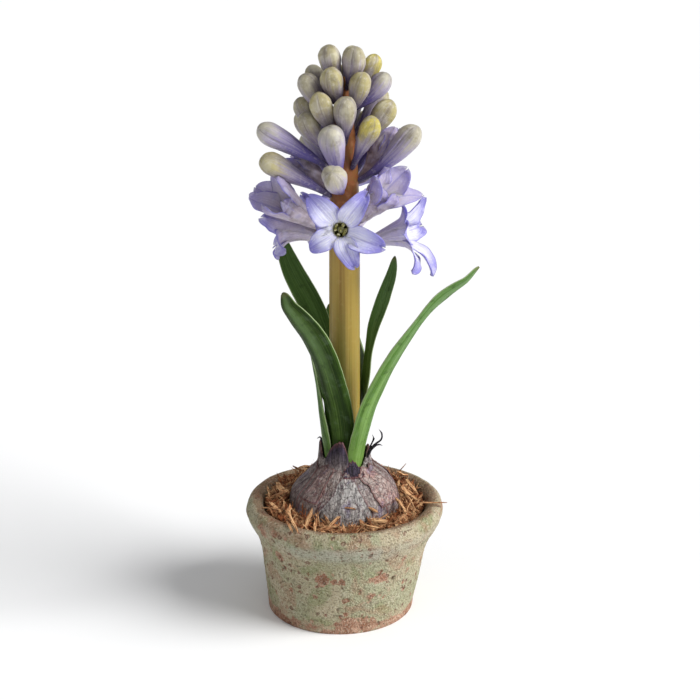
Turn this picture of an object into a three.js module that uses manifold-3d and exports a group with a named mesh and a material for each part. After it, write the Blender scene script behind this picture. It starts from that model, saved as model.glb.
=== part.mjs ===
// A hyacinth in flower, standing in its clay pot: the bulb half out of the bark mulch, its leaves, one
// thick scape, a lower ring of open florets and a dome of buds above them. Millimetres, +Z up, -Y towards
// the front. The origin is on the pot's flat base, below the middle of its lip.

import * as THREE from "three";
import { mergeVertices } from "three/addons/utils/BufferGeometryUtils.js";
import Module from "manifold-3d";

// Driving dimensions.
const GAP = 0.35; // left between two pieces that touch
const RIM_RADIUS = 54.8;
const RIM_TOP = 64.2;
const POT_FLOOR = 7;
const POT_SIDES = 40;
const SOIL_TOP = 46;
const MULCH_TOP = 59; // on average: it lies higher at the back and a little higher on the left
const BULB_RADIUS = 30;
const BULB_BOTTOM = 20;
const NECK_FLOOR = 80; // the leaves and the scape stand on it, inside the bulb's neck
const COLLAR_TOP = 89;
const SCAPE_TOP = 297;
const PETAL_THICKNESS = 0.75;

const wasm = await Module();
wasm.setup();
const plant = new THREE.Group();

// ---- Shared tools -------------------------------------------------------------------------------

const radians = THREE.MathUtils.degToRad;
const { lerp, smoothstep } = THREE.MathUtils;

// The same numbers each run, from 0 to 1.
function seeded(seed) {
  let state = seed;
  return () => {
    state = (state * 16807) % 2147483647;
    return state / 2147483647;
  };
}

// Moves every vertex of a geometry to place(vertex).
function shaped(geometry, place) {
  const position = geometry.getAttribute("position");
  for (let i = 0; i < position.count; i++) {
    const moved = place(new THREE.Vector3().fromBufferAttribute(position, i));
    position.setXYZ(i, moved.x, moved.y, moved.z);
  }
  return geometry;
}

// A solid of revolution about Z from [radius, height] pairs.
function turned(profile, sides) {
  const points = profile.map(([radius, height]) => new THREE.Vector2(radius, height));
  return new THREE.LatheGeometry(points, sides).rotateX(Math.PI / 2);
}

// The geometry with shared vertices merged, as a manifold-3d solid.
function solidOf(geometry) {
  const bare = new THREE.BufferGeometry().setAttribute("position", geometry.getAttribute("position"));
  bare.setIndex(geometry.index);
  const merged = mergeVertices(bare, 1e-4);
  return new wasm.Manifold(
    new wasm.Mesh({
      numProp: 3,
      vertProperties: new Float32Array(merged.getAttribute("position").array),
      triVerts: new Uint32Array(merged.index.array),
    }),
  );
}

// A solid back as a geometry, without scraps that a cut has left loose.
function geometryOf(solid) {
  const largest = solid.decompose().sort((a, b) => b.volume() - a.volume())[0];
  const mesh = largest.getMesh();
  const geometry = new THREE.BufferGeometry();
  geometry.setAttribute("position", new THREE.BufferAttribute(new Float32Array(mesh.vertProperties), 3));
  geometry.setIndex(new THREE.BufferAttribute(new Uint32Array(mesh.triVerts), 1));
  return geometry;
}

function fused(geometries) {
  return geometryOf(geometries.map(solidOf).reduce((whole, piece) => whole.add(piece)));
}

function add(name, geometry, material) {
  geometry.computeVertexNormals();
  const mesh = new THREE.Mesh(geometry, material);
  mesh.name = name;
  plant.add(mesh);
}

// A round body swept along a curve: profile holds [radius, share of the curve's length] pairs.
function swept(profile, curve, sides, swell = () => 1) {
  const body = turned(profile, sides);
  return shaped(body, (v) => {
    const share = THREE.MathUtils.clamp(v.z, 0, 1);
    const along = curve.getTangentAt(share);
    const across = new THREE.Vector3(-along.y, along.x, 0);
    if (across.lengthSq() < 1e-6) across.set(1, 0, 0);
    across.normalize();
    const up = new THREE.Vector3().crossVectors(along, across);
    const size = swell(Math.atan2(v.y, v.x), share);
    return curve.getPointAt(share).addScaledVector(across, v.x * size).addScaledVector(up, v.y * size);
  });
}

// ---- Pot: thick-walled clay, with a flared, rounded lip -----------------------------------------

const clay = new THREE.MeshStandardMaterial({ color: 0x9a9a7c, roughness: 0.95, metalness: 0 });

// The wall leans out from the base to the neck under the lip.
const BASE_RADIUS = 42.2;
const NECK_RADIUS = 46.9;
const NECK_HEIGHT = 37;
const INSIDE_RADIUS = 44.6; // at the lip
const INSIDE_BASE_RADIUS = 36.5;

// Shaped by hand, the pot leans: its base stands a little to the left of its lip.
const LEAN = -3.4;
const LEAN_TOP = 48;
const leaned = (v) => new THREE.Vector3(v.x + LEAN * Math.max(0, 1 - v.z / LEAN_TOP), v.y, v.z);

function insideRadius(height) {
  const share = (height - POT_FLOOR) / (RIM_TOP - 6 - POT_FLOOR);
  return lerp(INSIDE_BASE_RADIUS, INSIDE_RADIUS, THREE.MathUtils.clamp(share, 0, 1));
}

function potProfile() {
  const lip = new THREE.Path();
  lip.moveTo(NECK_RADIUS, NECK_HEIGHT);
  lip.quadraticCurveTo(NECK_RADIUS + 2.2, 45, RIM_RADIUS - 1.4, 52.5);
  lip.quadraticCurveTo(RIM_RADIUS + 1.2, 58.5, RIM_RADIUS - 1.8, RIM_TOP - 1.6);
  lip.quadraticCurveTo(RIM_RADIUS - 4, RIM_TOP + 0.5, INSIDE_RADIUS + 3, RIM_TOP - 1);
  lip.quadraticCurveTo(INSIDE_RADIUS + 0.6, RIM_TOP - 2.4, INSIDE_RADIUS, RIM_TOP - 6);
  const wall = lip.getPoints(2).map((p) => [p.x, p.y]);
  return [
    [0, 0],
    [BASE_RADIUS - 0.9, 0],
    [BASE_RADIUS - 0.2, 1],
    [BASE_RADIUS, 5],
    ...wall,
    [insideRadius(LEAN_TOP), LEAN_TOP],
    [INSIDE_BASE_RADIUS, POT_FLOOR],
    [0, POT_FLOOR],
  ];
}

add("pot", shaped(turned(potProfile(), POT_SIDES), leaned), clay);

// ---- Bulb: an onion-shaped bulb in papery tunics, its neck open for the leaves ------------------

const tunic = new THREE.MeshStandardMaterial({ color: 0x7d7480, roughness: 0.8, metalness: 0 });

const BULB_SIDES = 28;
const COLLAR_RADIUS = 12.6;
const WELL_RADIUS = 11.7;
const SLOPING_SHOULDER = 2.6; // how much less full the bulb is on its left, below the neck
const COLLAR_FLARE = 0.01; // a scale tip's lean outwards, as growth in radius for each millimetre of height

// The bulb's outside from its basal plate to the top of its neck: the belly, then the shoulder drawn in
// to the neck.
const bulbOutside = new THREE.CatmullRomCurve3(
  [
    [0, BULB_BOTTOM],
    [9, BULB_BOTTOM + 0.6],
    [21, 30],
    [28.4, 44],
    [BULB_RADIUS, 57],
    [28.6, 68],
    [22.6, 77.5],
    [15.6, 83.5],
    [COLLAR_RADIUS, COLLAR_TOP],
  ].map(([radius, height]) => new THREE.Vector3(radius, height, 0)),
);

// Papery scale tips round the neck: [azimuth, half width in degrees, height above the collar].
const SCALE_TIPS = [
  [-108, 34, 11],
  [172, 26, 8],
  [118, 30, 6],
  [62, 32, 7],
  [8, 26, 5],
];
const COLLAR_DIP = { azimuth: -55, halfWidth: 36, depth: 4.2 }; // where the front leaf leans out

const turnBetween = (a, b) => Math.abs(THREE.MathUtils.euclideanModulo(a - b + 180, 360) - 180);

function collarHeight(azimuth) {
  const dip = Math.max(0, 1 - turnBetween(azimuth, COLLAR_DIP.azimuth) / COLLAR_DIP.halfWidth);
  const tips = SCALE_TIPS.map(([at, halfWidth, height]) => {
    const near = Math.max(0, 1 - turnBetween(azimuth, at) / halfWidth);
    return height * Math.sin((near * Math.PI) / 2);
  });
  return Math.max(...tips) - COLLAR_DIP.depth * smoothstep(dip, 0, 0.6);
}

// The tunics' overlapping edges and their ribs, as relief on the upper half, and the sloping shoulder.
function tunicRelief(azimuth, height) {
  const shows = smoothstep(height, 54, 62) * (1 - smoothstep(height, 80, 88));
  const sheet = THREE.MathUtils.euclideanModulo(azimuth + 0.9 * height, 72) / 72;
  const leftwards = Math.max(0, -Math.cos(radians(azimuth)));
  const sloping = SLOPING_SHOULDER * leftwards * Math.exp(-(((height - 77) / 5) ** 2));
  return shows * (0.7 * sheet + 0.35 * Math.cos(radians(azimuth * 12)) - 0.5) - sloping;
}

function bulbBody() {
  const outside = bulbOutside.getPoints(12).map((p) => [p.x, p.y]);
  const well = [
    [WELL_RADIUS, COLLAR_TOP],
    [WELL_RADIUS - 0.2, NECK_FLOOR],
    [0, NECK_FLOOR],
  ];
  const body = turned([...outside, ...well], BULB_SIDES);
  return shaped(body, (v) => {
    const azimuth = THREE.MathUtils.radToDeg(Math.atan2(v.y, v.x));
    const radius = Math.hypot(v.x, v.y);
    const tip = v.z > COLLAR_TOP - 1 ? collarHeight(azimuth) : 0;
    const isWell = radius < WELL_RADIUS + 0.1 && v.z > NECK_FLOOR - 1;
    const relief = radius > 0.1 && !isWell ? tunicRelief(azimuth, v.z) / radius : 0;
    const grow = 1 + relief + COLLAR_FLARE * Math.max(0, tip);
    return new THREE.Vector3(v.x * grow, v.y * grow, v.z + tip);
  });
}

// Dry, curled ends of old scales that stick out of the neck.
function curledTip(points, thickness) {
  const curve = new THREE.CatmullRomCurve3(points.map((p) => new THREE.Vector3(...p)));
  const profile = [
    [0, 0],
    [thickness, 0],
    [thickness * 1.1, 0.2],
    [thickness * 0.8, 0.5],
    [thickness * 0.7, 0.75],
    [0, 1],
  ];
  return swept(profile, curve, 6);
}

const RIGHT_TIP = [
  [11.4, -1, 84], [12.6, -1, 90], [16.5, 0, 94.5], [20, 0, 97.5], [20.5, 0, 101], [18.6, 0, 104],
];
const LEFT_TIP = [[-11.4, 1, 84], [-12.2, 1, 94], [-13.2, 0, 99], [-15.4, -1, 98.4]];
const curledTips = [curledTip(RIGHT_TIP, 1.1), curledTip(LEFT_TIP, 0.8)];

add("bulb", fused([bulbBody(), ...curledTips]), tunic);

// ---- Soil and mulch: potting soil round the bulb's root end, shredded bark on top ---------------

const earth = new THREE.MeshStandardMaterial({ color: 0x2c211a, roughness: 1, metalness: 0 });
const bark = new THREE.MeshStandardMaterial({ color: 0x9a5a2c, roughness: 0.95, metalness: 0 });

// The bulb's outside, grown by the gap: the hole that it stands in.
const bulbHole = bulbOutside
  .getPoints(14)
  .slice(0, 11)
  .map((p) => {
    const grow = 1 + (1.6 * GAP) / Math.max(p.x, 8);
    return [p.x * grow, p.y - (p.y < 50 ? GAP : 0)];
  });

function soilBody() {
  const hole = bulbHole.filter(([, height]) => height < SOIL_TOP - 1).reverse();
  const profile = [
    [0, POT_FLOOR + GAP],
    [INSIDE_BASE_RADIUS - GAP, POT_FLOOR + GAP],
    [insideRadius(SOIL_TOP) - GAP, SOIL_TOP],
    [BULB_RADIUS, SOIL_TOP],
    ...hole,
  ];
  // It leans with the pot, but the bulb stands upright in it.
  return shaped(turned(profile, 24), (v) => {
    const byTheBulb = Math.hypot(v.x, v.y) < BULB_RADIUS + 2;
    return byTheBulb ? v : leaned(v);
  });
}

const mulchLevel = (turn) => MULCH_TOP + 2.6 * Math.sin(turn) - 1.2 * Math.cos(turn);

function mulchBed() {
  const outer = insideRadius(MULCH_TOP) - GAP;
  const inner = BULB_RADIUS - 3;
  const floor = SOIL_TOP + GAP;
  const profile = [
    [inner, floor],
    [outer - 1, floor],
    [outer - 0.2, MULCH_TOP - 0.4],
    [outer - 4.5, MULCH_TOP + 0.6],
    [inner + 6, MULCH_TOP],
    [inner, MULCH_TOP],
    [inner, floor],
  ];
  return shaped(turned(profile, 24), (v) => {
    const turn = Math.atan2(v.y, v.x);
    const heap = mulchLevel(turn) - MULCH_TOP + 0.8 * Math.sin(turn * 7 + v.x);
    return new THREE.Vector3(v.x, v.y, v.z > SOIL_TOP + 2 ? v.z + heap : v.z);
  });
}

// Bark chips lie at random on the bed, each with one end sunk in it.
const CHIP_COUNT = 29;

function barkChips() {
  const draw = seeded(417);
  const chips = [];
  for (let i = 0; i < CHIP_COUNT; i++) {
    const turn = (i / CHIP_COUNT) * 2 * Math.PI + 0.3 * draw();
    const radius = lerp(33, 41.5, draw());
    const chip = new THREE.BoxGeometry(lerp(9, 16, draw()), lerp(1.8, 3.6, draw()), lerp(1, 1.6, draw()));
    chip.rotateY(-radians(lerp(6, 38, draw())));
    chip.rotateZ(draw() * 2 * Math.PI);
    chip.translate(radius * Math.cos(turn), radius * Math.sin(turn), mulchLevel(turn) + lerp(0, 2.6, draw()));
    chips.push(chip);
  }
  return chips;
}

function mulchBody() {
  const pile = [mulchBed(), ...barkChips()].map(solidOf).reduce((whole, piece) => whole.add(piece));
  const widest = INSIDE_RADIUS - GAP;
  const room = turned(
    [
      [0, SOIL_TOP],
      [insideRadius(SOIL_TOP) - GAP, SOIL_TOP],
      [widest, RIM_TOP - 6],
      [widest, 80],
      [0, 80],
    ],
    30,
  );
  const aroundBulb = turned([[0, BULB_BOTTOM - 1], ...bulbHole.slice(1), [0, 86]], 32);
  return geometryOf(pile.intersect(solidOf(room)).subtract(solidOf(aroundBulb)));
}

add("soil", soilBody(), earth);
add("bark_mulch", mulchBody(), bark);

// ---- Scape: the thick, hollow-looking flower stalk ----------------------------------------------

const stalk = new THREE.MeshStandardMaterial({ color: 0xa08648, roughness: 0.5, metalness: 0 });

const SCAPE_RADII = [
  [NECK_FLOOR + GAP, 7.5],
  [96, 7.7],
  [112, 8.3],
  [215, 8.1],
  [245, 7.2],
  [268, 5.6],
  [286, 3.6],
  [SCAPE_TOP - 2, 2.0],
];

function scapeRadius(height) {
  const next = SCAPE_RADII.findIndex(([at]) => at > height);
  if (next < 1) return next < 0 ? 2.0 : SCAPE_RADII[0][1];
  const [[z0, r0], [z1, r1]] = [SCAPE_RADII[next - 1], SCAPE_RADII[next]];
  return lerp(r0, r1, (height - z0) / (z1 - z0));
}

add(
  "scape",
  turned([[0, NECK_FLOOR + GAP], ...SCAPE_RADII.map(([z, r]) => [r, z]), [0, SCAPE_TOP]], 18),
  stalk,
);

// ---- Leaves: strap-shaped, channelled towards the scape, with hooded tips -----------------------

const leafGreen = new THREE.MeshStandardMaterial({ color: 0x4f7f3c, roughness: 0.55, metalness: 0 });

const LEAF_FOOT = NECK_FLOOR + GAP;
const INNER_RING = 9; // the two rings of leaf feet round the scape
const OUTER_RING = 10.5;

// ring and azimuth place the leaf's foot, and route holds the points of its middle line above the foot.
// Its half width grows from footHalf to half. It is rolled to the radius channel above the foot, and twist
// turns its face about the middle line from the foot to the tip. At its waist, where it has one, it is
// folded narrow.
const LEAVES = {
  leaf_front_right: {
    ring: OUTER_RING, azimuth: -50, footHalf: 6.5, half: 6.8, channel: 12, twist: [0, 30], waist: 0.7,
    route: [
      [7, -8.2, 90], [10, -12.4, 106], [13.8, -15.6, 121], [20, -18, 136.5], [26, -20, 149], [32, -21, 159.5],
      [39.4, -20.6, 171], [47.6, -19.6, 180.4], [55.6, -18.2, 187], [64, -17, 193], [71.4, -15.5, 199],
    ],
  },
  leaf_front_left: {
    ring: INNER_RING, azimuth: -106, footHalf: 6.4, half: 8.6, channel: 12, twist: [0, -18], waist: 0,
    route: [
      [-2.5, -8.9, 90], [-2.2, -10.8, 102], [-4, -13.6, 119], [-7.4, -16.8, 135], [-12, -20, 151],
      [-16.8, -22.4, 162], [-24, -25, 173.5], [-29.4, -26, 181.5], [-32.6, -25.6, 188.5],
    ],
  },
  leaf_back_left: {
    ring: INNER_RING, azimuth: 156, footHalf: 6.2, half: 6.8, channel: 14, twist: [0, -62], waist: 0,
    route: [
      [-8.4, 3.8, 90], [-8.8, 4.6, 106], [-9.6, 7, 130], [-11.8, 9.6, 152], [-14.8, 11, 163],
      [-20, 12.2, 174.5], [-26.4, 13, 187], [-31.2, 14.6, 198], [-34.2, 16, 209.5],
    ],
  },
  leaf_left: {
    ring: OUTER_RING, azimuth: -156, footHalf: 4.2, half: 6, channel: 9, twist: [0, -44], waist: 0,
    route: [
      [-9.8, -4.2, 90], [-11.4, -5.1, 101], [-13.4, -5.7, 116], [-14.9, -5.9, 132], [-16.4, -5.8, 144],
      [-18.8, -5.2, 155],
    ],
  },
  leaf_right: {
    ring: INNER_RING, azimuth: 6, footHalf: 5, half: 4, channel: 12, twist: [0, 78], waist: 0.56,
    route: [
      [9.1, 1, 90], [9.7, 1.6, 106], [11, 2, 122], [12.2, 2.6, 136], [13.4, 3.6, 148], [15.6, 4.6, 159.5],
      [19, 6, 170.5], [22.8, 7, 182], [25.6, 7.6, 191], [27.2, 8, 200],
    ],
  },
  leaf_back_right: {
    ring: OUTER_RING, azimuth: 52, footHalf: 5, half: 6, channel: 14, twist: [0, -30], waist: 0,
    route: [
      [6.4, 8.6, 90], [8.4, 10.6, 106], [10, 13, 124], [9.6, 14.6, 138], [7.4, 16, 150], [4.4, 17, 160],
      [2, 17.6, 169],
    ],
  },
  leaf_back: {
    ring: OUTER_RING, azimuth: 108, footHalf: 4.2, half: 5, channel: 14, twist: [0, 10], waist: 0,
    route: [
      [-3.3, 10.3, 90], [-4.2, 12, 106], [-5, 14.6, 124], [-6, 16.6, 142], [-7.6, 18, 156], [-9, 19, 170],
    ],
  },
};

// Half the leaf's width: from the foot it broadens, narrows at its waist, and ends in the rounded tip.
function leafHalfWidth(leaf, share) {
  const body = lerp(leaf.footHalf, leaf.half, smoothstep(share, 0, 0.35));
  const fold = leaf.waist ? 1 - 0.3 * Math.exp(-(((share - leaf.waist) / 0.1) ** 2)) : 1;
  const tip = Math.sqrt(Math.max(0, 1 - Math.max(0, (share - 0.7) / 0.3) ** 2));
  return Math.max(0.5, body * fold * tip);
}

function leafBlade(leaf) {
  const turn = radians(leaf.azimuth);
  const foot = new THREE.Vector3(leaf.ring * Math.cos(turn), leaf.ring * Math.sin(turn), LEAF_FOOT);
  const line = new THREE.CatmullRomCurve3([foot, ...leaf.route.map((p) => new THREE.Vector3(...p))]);
  const towardsScape = new THREE.Vector3(-Math.cos(turn), -Math.sin(turn), 0);
  const blade = new THREE.BoxGeometry(1, 1, 1, 4, 11, 1);
  return shaped(blade, (v) => {
    const share = v.y + 0.5;
    const along = line.getTangentAt(share);
    const face = towardsScape.clone().addScaledVector(along, -towardsScape.dot(along)).normalize();
    face.applyAxisAngle(along, radians(lerp(...leaf.twist, smoothstep(share, 0.1, 1))));
    const across = new THREE.Vector3().crossVectors(along, face);
    const channel = lerp(leaf.ring, leaf.channel, smoothstep(share, 0.08, 0.35));
    const roll = (2 * v.x * leafHalfWidth(leaf, share)) / channel;
    const thickness = lerp(1.15, 0.9, share) * (1 - 0.3 * Math.abs(2 * v.x));
    const radius = channel - v.z * thickness;
    return line
      .getPointAt(share)
      .addScaledVector(across, radius * Math.sin(roll))
      .addScaledVector(face, channel - radius * Math.cos(roll));
  });
}

for (const [name, leaf] of Object.entries(LEAVES)) add(name, leafBlade(leaf), leafGreen);

// ---- Flower head: where each floret and bud grows -----------------------------------------------

// The middle line of a floret or bud as far as its head, and the way that it faces there. The head is
// given as [azimuth, distance from the axis, height], rootHeight is where it leaves the scape, and rise is
// its angle above level at the head.
function flowerLine([azimuth, distance, height], rootHeight, rise) {
  const outward = new THREE.Vector3(Math.cos(radians(azimuth)), Math.sin(radians(azimuth)), 0);
  const root = outward.clone().multiplyScalar(scapeRadius(rootHeight) + GAP + 0.6);
  root.z = rootHeight;
  const head = outward.clone().multiplyScalar(distance);
  head.z = height;
  const aim = outward.clone().multiplyScalar(Math.cos(radians(rise)));
  aim.z = Math.sin(radians(rise));
  const bend = head.clone().addScaledVector(aim, -0.5 * root.distanceTo(head));
  return { root, bend, head, aim };
}

// ---- Buds: egg-shaped on a tapering neck, three of the six closed petals standing out as ridges -

const budGreen = new THREE.MeshStandardMaterial({ color: 0xa9a48c, roughness: 0.5, metalness: 0 });
const budLilac = new THREE.MeshStandardMaterial({ color: 0xa79cc4, roughness: 0.5, metalness: 0 });

// Each bud: [azimuth, distance from the axis, height] of its widest place, height of its root, rise, width.
const BUDS = [
  [[-134, 10.4, 306.8], 293, 80, 11.4],
  [[-58, 10.2, 305.6], 291, 84, 12],
  [[8, 14.6, 302], 287, 72, 9.6],
  [[70, 11.5, 304], 289, 76, 11],
  [[128, 12, 302.5], 288, 74, 10.6],
  [[-112, 16.2, 296.6], 282, 70, 11.6],
  [[-59, 16.4, 294.3], 278, 72, 11.2],
  [[-8, 19, 293], 280, 60, 10.6],
  [[50, 18, 293.5], 276, 66, 11],
  [[104, 17.4, 294], 276, 66, 11.2],
  [[170, 15.2, 296], 283, 68, 10.4],
  [[-156, 19.7, 292.8], 275, 66, 11.2],
  [[-123, 21.4, 284.7], 266, 64, 11.6],
  [[-88, 20.4, 282.6], 263, 66, 12],
  [[-9, 20.6, 278.6], 260, 58, 12],
  [[36, 21.6, 282], 266, 60, 11.2],
  [[78, 21, 281], 262, 58, 11.4],
  [[126, 21, 281], 262, 60, 11.4],
  [[174, 20.4, 279.4], 262, 60, 10.8],
  [[-148, 21, 273.8], 255, 60, 11.2],
  [[-53, 21.3, 273], 250, 56, 11],
  [[66, 24.6, 268.5], 248, 46, 11.4],
  [[108, 24, 269], 249, 48, 11.4],
  [[147, 24.4, 270], 252, 50, 11.2],
];
const LONG_BUDS = [
  [[-105, 22.8, 267.5], 243, 60, 13.8],
  [[-165, 38.6, 269], 249, 30, 12.2],
  [[-158, 39, 253.8], 235, 28, 12],
  [[-98, 36, 251.2], 238, 14, 12.8],
  [[-8, 33.8, 265], 243, 46, 11.8],
  [[62, 35, 260], 241, 30, 12.2],
  [[120, 35, 256], 238, 28, 12.2],
];

const BUD_SIDES = 9;
const TIP_LENGTH = 0.64; // from the widest place to the tip, in widths

function budBody([place, rootHeight, rise, width]) {
  const { root, bend, head, aim } = flowerLine(place, rootHeight, rise);
  const tip = head.clone().addScaledVector(aim, TIP_LENGTH * width);
  const leaving = root.clone().lerp(bend, 0.6);
  const arriving = head.clone().lerp(bend, 0.3);
  const curve = new THREE.CubicBezierCurve3(root, leaving, arriving, tip);
  const widest = 1 - (TIP_LENGTH * width) / curve.getLength();
  const profile = [
    [0, 0],
    [1.3, 0],
    [0.19 * width, 0.3 * widest],
    [0.34 * width, 0.58 * widest],
    [0.46 * width, 0.84 * widest],
    [0.5 * width, widest],
    [0.46 * width, lerp(widest, 1, 0.42)],
    [0.31 * width, lerp(widest, 1, 0.8)],
    [0, 1],
  ];
  const ridges = (turn, share) => 1 + 0.05 * Math.cos(3 * turn) * smoothstep(share, 0.2, 0.6);
  return swept(profile, curve, BUD_SIDES, ridges);
}

const twoDigits = (number) => String(number).padStart(2, "0");
BUDS.forEach((bud, i) => add(`bud_${twoDigits(i + 1)}`, budBody(bud), budGreen));
LONG_BUDS.forEach((bud, i) => add(`long_bud_${i + 1}`, budBody(bud), budLilac));

// ---- Florets: a tube that widens into six petals, with a column of anthers in its throat --------

const petalLilac = new THREE.MeshStandardMaterial({ color: 0xb9b4e0, roughness: 0.5, metalness: 0 });

const MOUTH_RADIUS = 4.6;
const TUBE_WALL = 0.8;
const PETAL_HALF_WIDTH = 5.2;
const WHORL_STEP = 1.4; // the inner three petals lie this far inside the outer three

// Each floret: the place of its mouth, the height of its root, its rise, and its petals. A petal is given
// by its clock angle round the mouth seen from in front (0 is up, 90 right), the angles from the floret's
// axis that it starts and ends at, and its length. Every second one is an inner petal.
function evenly(turn, start, end, length) {
  return [0, 60, 120, 180, 240, 300].map((at) => [at + turn, start, end, length]);
}
const FLORETS = [
  {
    mouth: [-94, 28, 223], rootHeight: 214, rise: 12,
    petals: [
      [-48, 42, 92, 26], [40, 40, 82, 24], [118, 44, 100, 25],
      [170, 44, 105, 19], [-142, 46, 140, 19], [-94, 50, 130, 17],
    ],
  },
  {
    mouth: [-8, 30.5, 215.5], rootHeight: 206, rise: 14,
    petals: [
      [24, 26, 108, 15], [96, 26, 70, 16], [156, 26, 92, 24],
      [204, 28, 118, 21], [268, 26, 110, 12], [330, 26, 118, 15],
    ],
  },
  {
    mouth: [-26, 17.5, 232], rootHeight: 221, rise: 50,
    petals: [
      [-8, 8, 50, 17], [52, 10, 50, 16], [112, 14, 60, 20],
      [166, 16, 72, 23], [236, 10, 70, 17], [300, 8, 66, 17],
    ],
  },
  {
    mouth: [-157, 29, 230], rootHeight: 217, rise: 36,
    petals: [
      [24, 20, 50, 12], [98, 32, 112, 15], [150, 22, 80, 18],
      [206, 18, 52, 22], [268, 18, 56, 20], [328, 18, 50, 13],
    ],
  },
  { mouth: [176, 29, 215.5], rootHeight: 207, rise: 4, petals: evenly(28, 24, 104, 16) },
  { mouth: [26, 19, 252], rootHeight: 241, rise: 54, petals: evenly(10, 8, 44, 19) },
  { mouth: [170, 17, 245], rootHeight: 236, rise: 30, petals: evenly(30, 10, 44, 17) },
  { mouth: [48, 27, 217], rootHeight: 209, rise: 6, petals: evenly(10, 28, 114, 19) },
  { mouth: [118, 27, 215], rootHeight: 207, rise: 4, petals: evenly(40, 28, 114, 19) },
  { mouth: [90, 27, 237], rootHeight: 228, rise: 25, petals: evenly(10, 26, 96, 18) },
];

// A petal of a floret that faces +Z with its mouth at the origin. The petal runs towards +Y and is bent to
// an arc.
function petalBlade(startAngle, endAngle, length, step) {
  const [start, end] = [radians(startAngle), radians(endAngle)];
  const curl = (end - start) / length;
  const blade = new THREE.BoxGeometry(1, 1, 1, 2, 4, 1);
  return shaped(blade, (v) => {
    const share = v.y + 0.5;
    const turn = lerp(start, end, share);
    const taper = lerp(0.34, 1, smoothstep(share, 0, 0.48)) * Math.sqrt(1 - 0.98 * share ** 4);
    const halfWidth = PETAL_HALF_WIDTH * taper;
    const lift = 0.4 * Math.abs(2 * v.x) + v.z * PETAL_THICKNESS + step * smoothstep(share, 0, 0.3);
    const axial = (Math.sin(turn) - Math.sin(start)) / curl;
    const radial = (Math.cos(start) - Math.cos(turn)) / curl;
    return new THREE.Vector3(
      2 * v.x * halfWidth,
      MOUTH_RADIUS - 0.5 * TUBE_WALL + radial - lift * Math.cos(turn),
      axial - 0.8 + lift * Math.sin(turn),
    );
  });
}

function floretTube(curve) {
  const bore = MOUTH_RADIUS - TUBE_WALL;
  const profile = [
    [0, 0],
    [1.3, 0],
    [2.9, 0.26],
    [3.5, 0.62],
    [MOUTH_RADIUS, 1],
    [bore, 1],
    [2.4, 0.64],
    [1.2, 0.62],
    [1.5, 0.9],
    [0, 0.94],
  ];
  return swept(profile, curve, 7);
}

function floretBody({ mouth, rootHeight, rise, petals }) {
  const { root, bend, head, aim } = flowerLine(mouth, rootHeight, rise);
  const curve = new THREE.CubicBezierCurve3(root, root.clone().lerp(bend, 0.6), bend, head);
  const right = new THREE.Vector3(0, 0, 1).cross(aim).normalize();
  const up = new THREE.Vector3().crossVectors(aim, right);
  const pieces = petals.map(([at, start, end, length], i) => {
    const outward = up.clone().multiplyScalar(Math.cos(radians(at)));
    outward.addScaledVector(right, Math.sin(radians(at)));
    const sideways = new THREE.Vector3().crossVectors(outward, aim);
    const place = new THREE.Matrix4().makeBasis(sideways, outward, aim);
    return petalBlade(start, end, length, i % 2 ? WHORL_STEP : 0).applyMatrix4(place.setPosition(head));
  });
  return fused([floretTube(curve), ...pieces]);
}

FLORETS.forEach((floret, i) => add(`floret_${twoDigits(i + 1)}`, floretBody(floret), petalLilac));

export default plant;
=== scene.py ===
"""A hyacinth in flower in its clay pot. Pieces are modelled in millimetres and set down in metres."""

import math
import random
from bisect import bisect_left

import bmesh
import bpy
from mathutils import Matrix, Vector, noise
from mathutils.geometry import interpolate_bezier


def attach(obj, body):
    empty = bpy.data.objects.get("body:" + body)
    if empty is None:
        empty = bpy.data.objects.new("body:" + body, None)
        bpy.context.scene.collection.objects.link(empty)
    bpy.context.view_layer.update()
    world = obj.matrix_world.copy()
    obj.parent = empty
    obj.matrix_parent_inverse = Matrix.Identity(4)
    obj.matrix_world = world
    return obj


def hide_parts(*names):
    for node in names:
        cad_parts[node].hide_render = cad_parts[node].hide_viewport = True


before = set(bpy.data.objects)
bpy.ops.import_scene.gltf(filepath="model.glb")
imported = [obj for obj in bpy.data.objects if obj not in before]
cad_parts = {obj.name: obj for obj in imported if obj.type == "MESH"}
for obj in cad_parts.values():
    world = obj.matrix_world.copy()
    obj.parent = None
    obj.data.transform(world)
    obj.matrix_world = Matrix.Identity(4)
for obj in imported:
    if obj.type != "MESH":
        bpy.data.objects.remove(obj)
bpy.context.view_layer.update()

# ---- Studio --------------------------------------------------------------------------------------
# A white floor that runs out of sight, under a bright overcast of white light with a soft key from the
# right and a weaker one from the left. The camera looks down on the pot from a little above.

VIEW_ANGLE = math.radians(18)
VIEW_DISTANCE = 0.9
VIEW_TARGET = Vector((0.003, 0, 0.1494))
VIEW_LENS = 85.63
FLOOR_HALF_WIDTH = 12

camera = bpy.data.objects.new("camera", bpy.data.cameras.new("camera"))
camera.data.lens = VIEW_LENS
camera.data.sensor_width = 36
camera.location = VIEW_TARGET + VIEW_DISTANCE * Vector((0, -math.cos(VIEW_ANGLE), math.sin(VIEW_ANGLE)))
camera.rotation_euler = (math.pi / 2 - VIEW_ANGLE, 0, 0)
bpy.context.collection.objects.link(camera)
bpy.context.scene.camera = camera
bpy.context.scene.view_settings.view_transform = "Standard"


def soft_light(name, strength, spread, tilt, turn):
    """A broad, even light from far away: its tilt from overhead, then its turn about Z, in degrees."""
    light = bpy.data.lights.new(name, "SUN")
    light.energy = strength
    light.angle = math.radians(spread)
    lamp = bpy.data.objects.new(name, light)
    lamp.rotation_euler = (math.radians(tilt), 0, math.radians(turn))
    bpy.context.collection.objects.link(lamp)


soft_light("key", 4.15, 42, 57, 72)
soft_light("fill", 0.3, 80, 40, -50)

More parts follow.
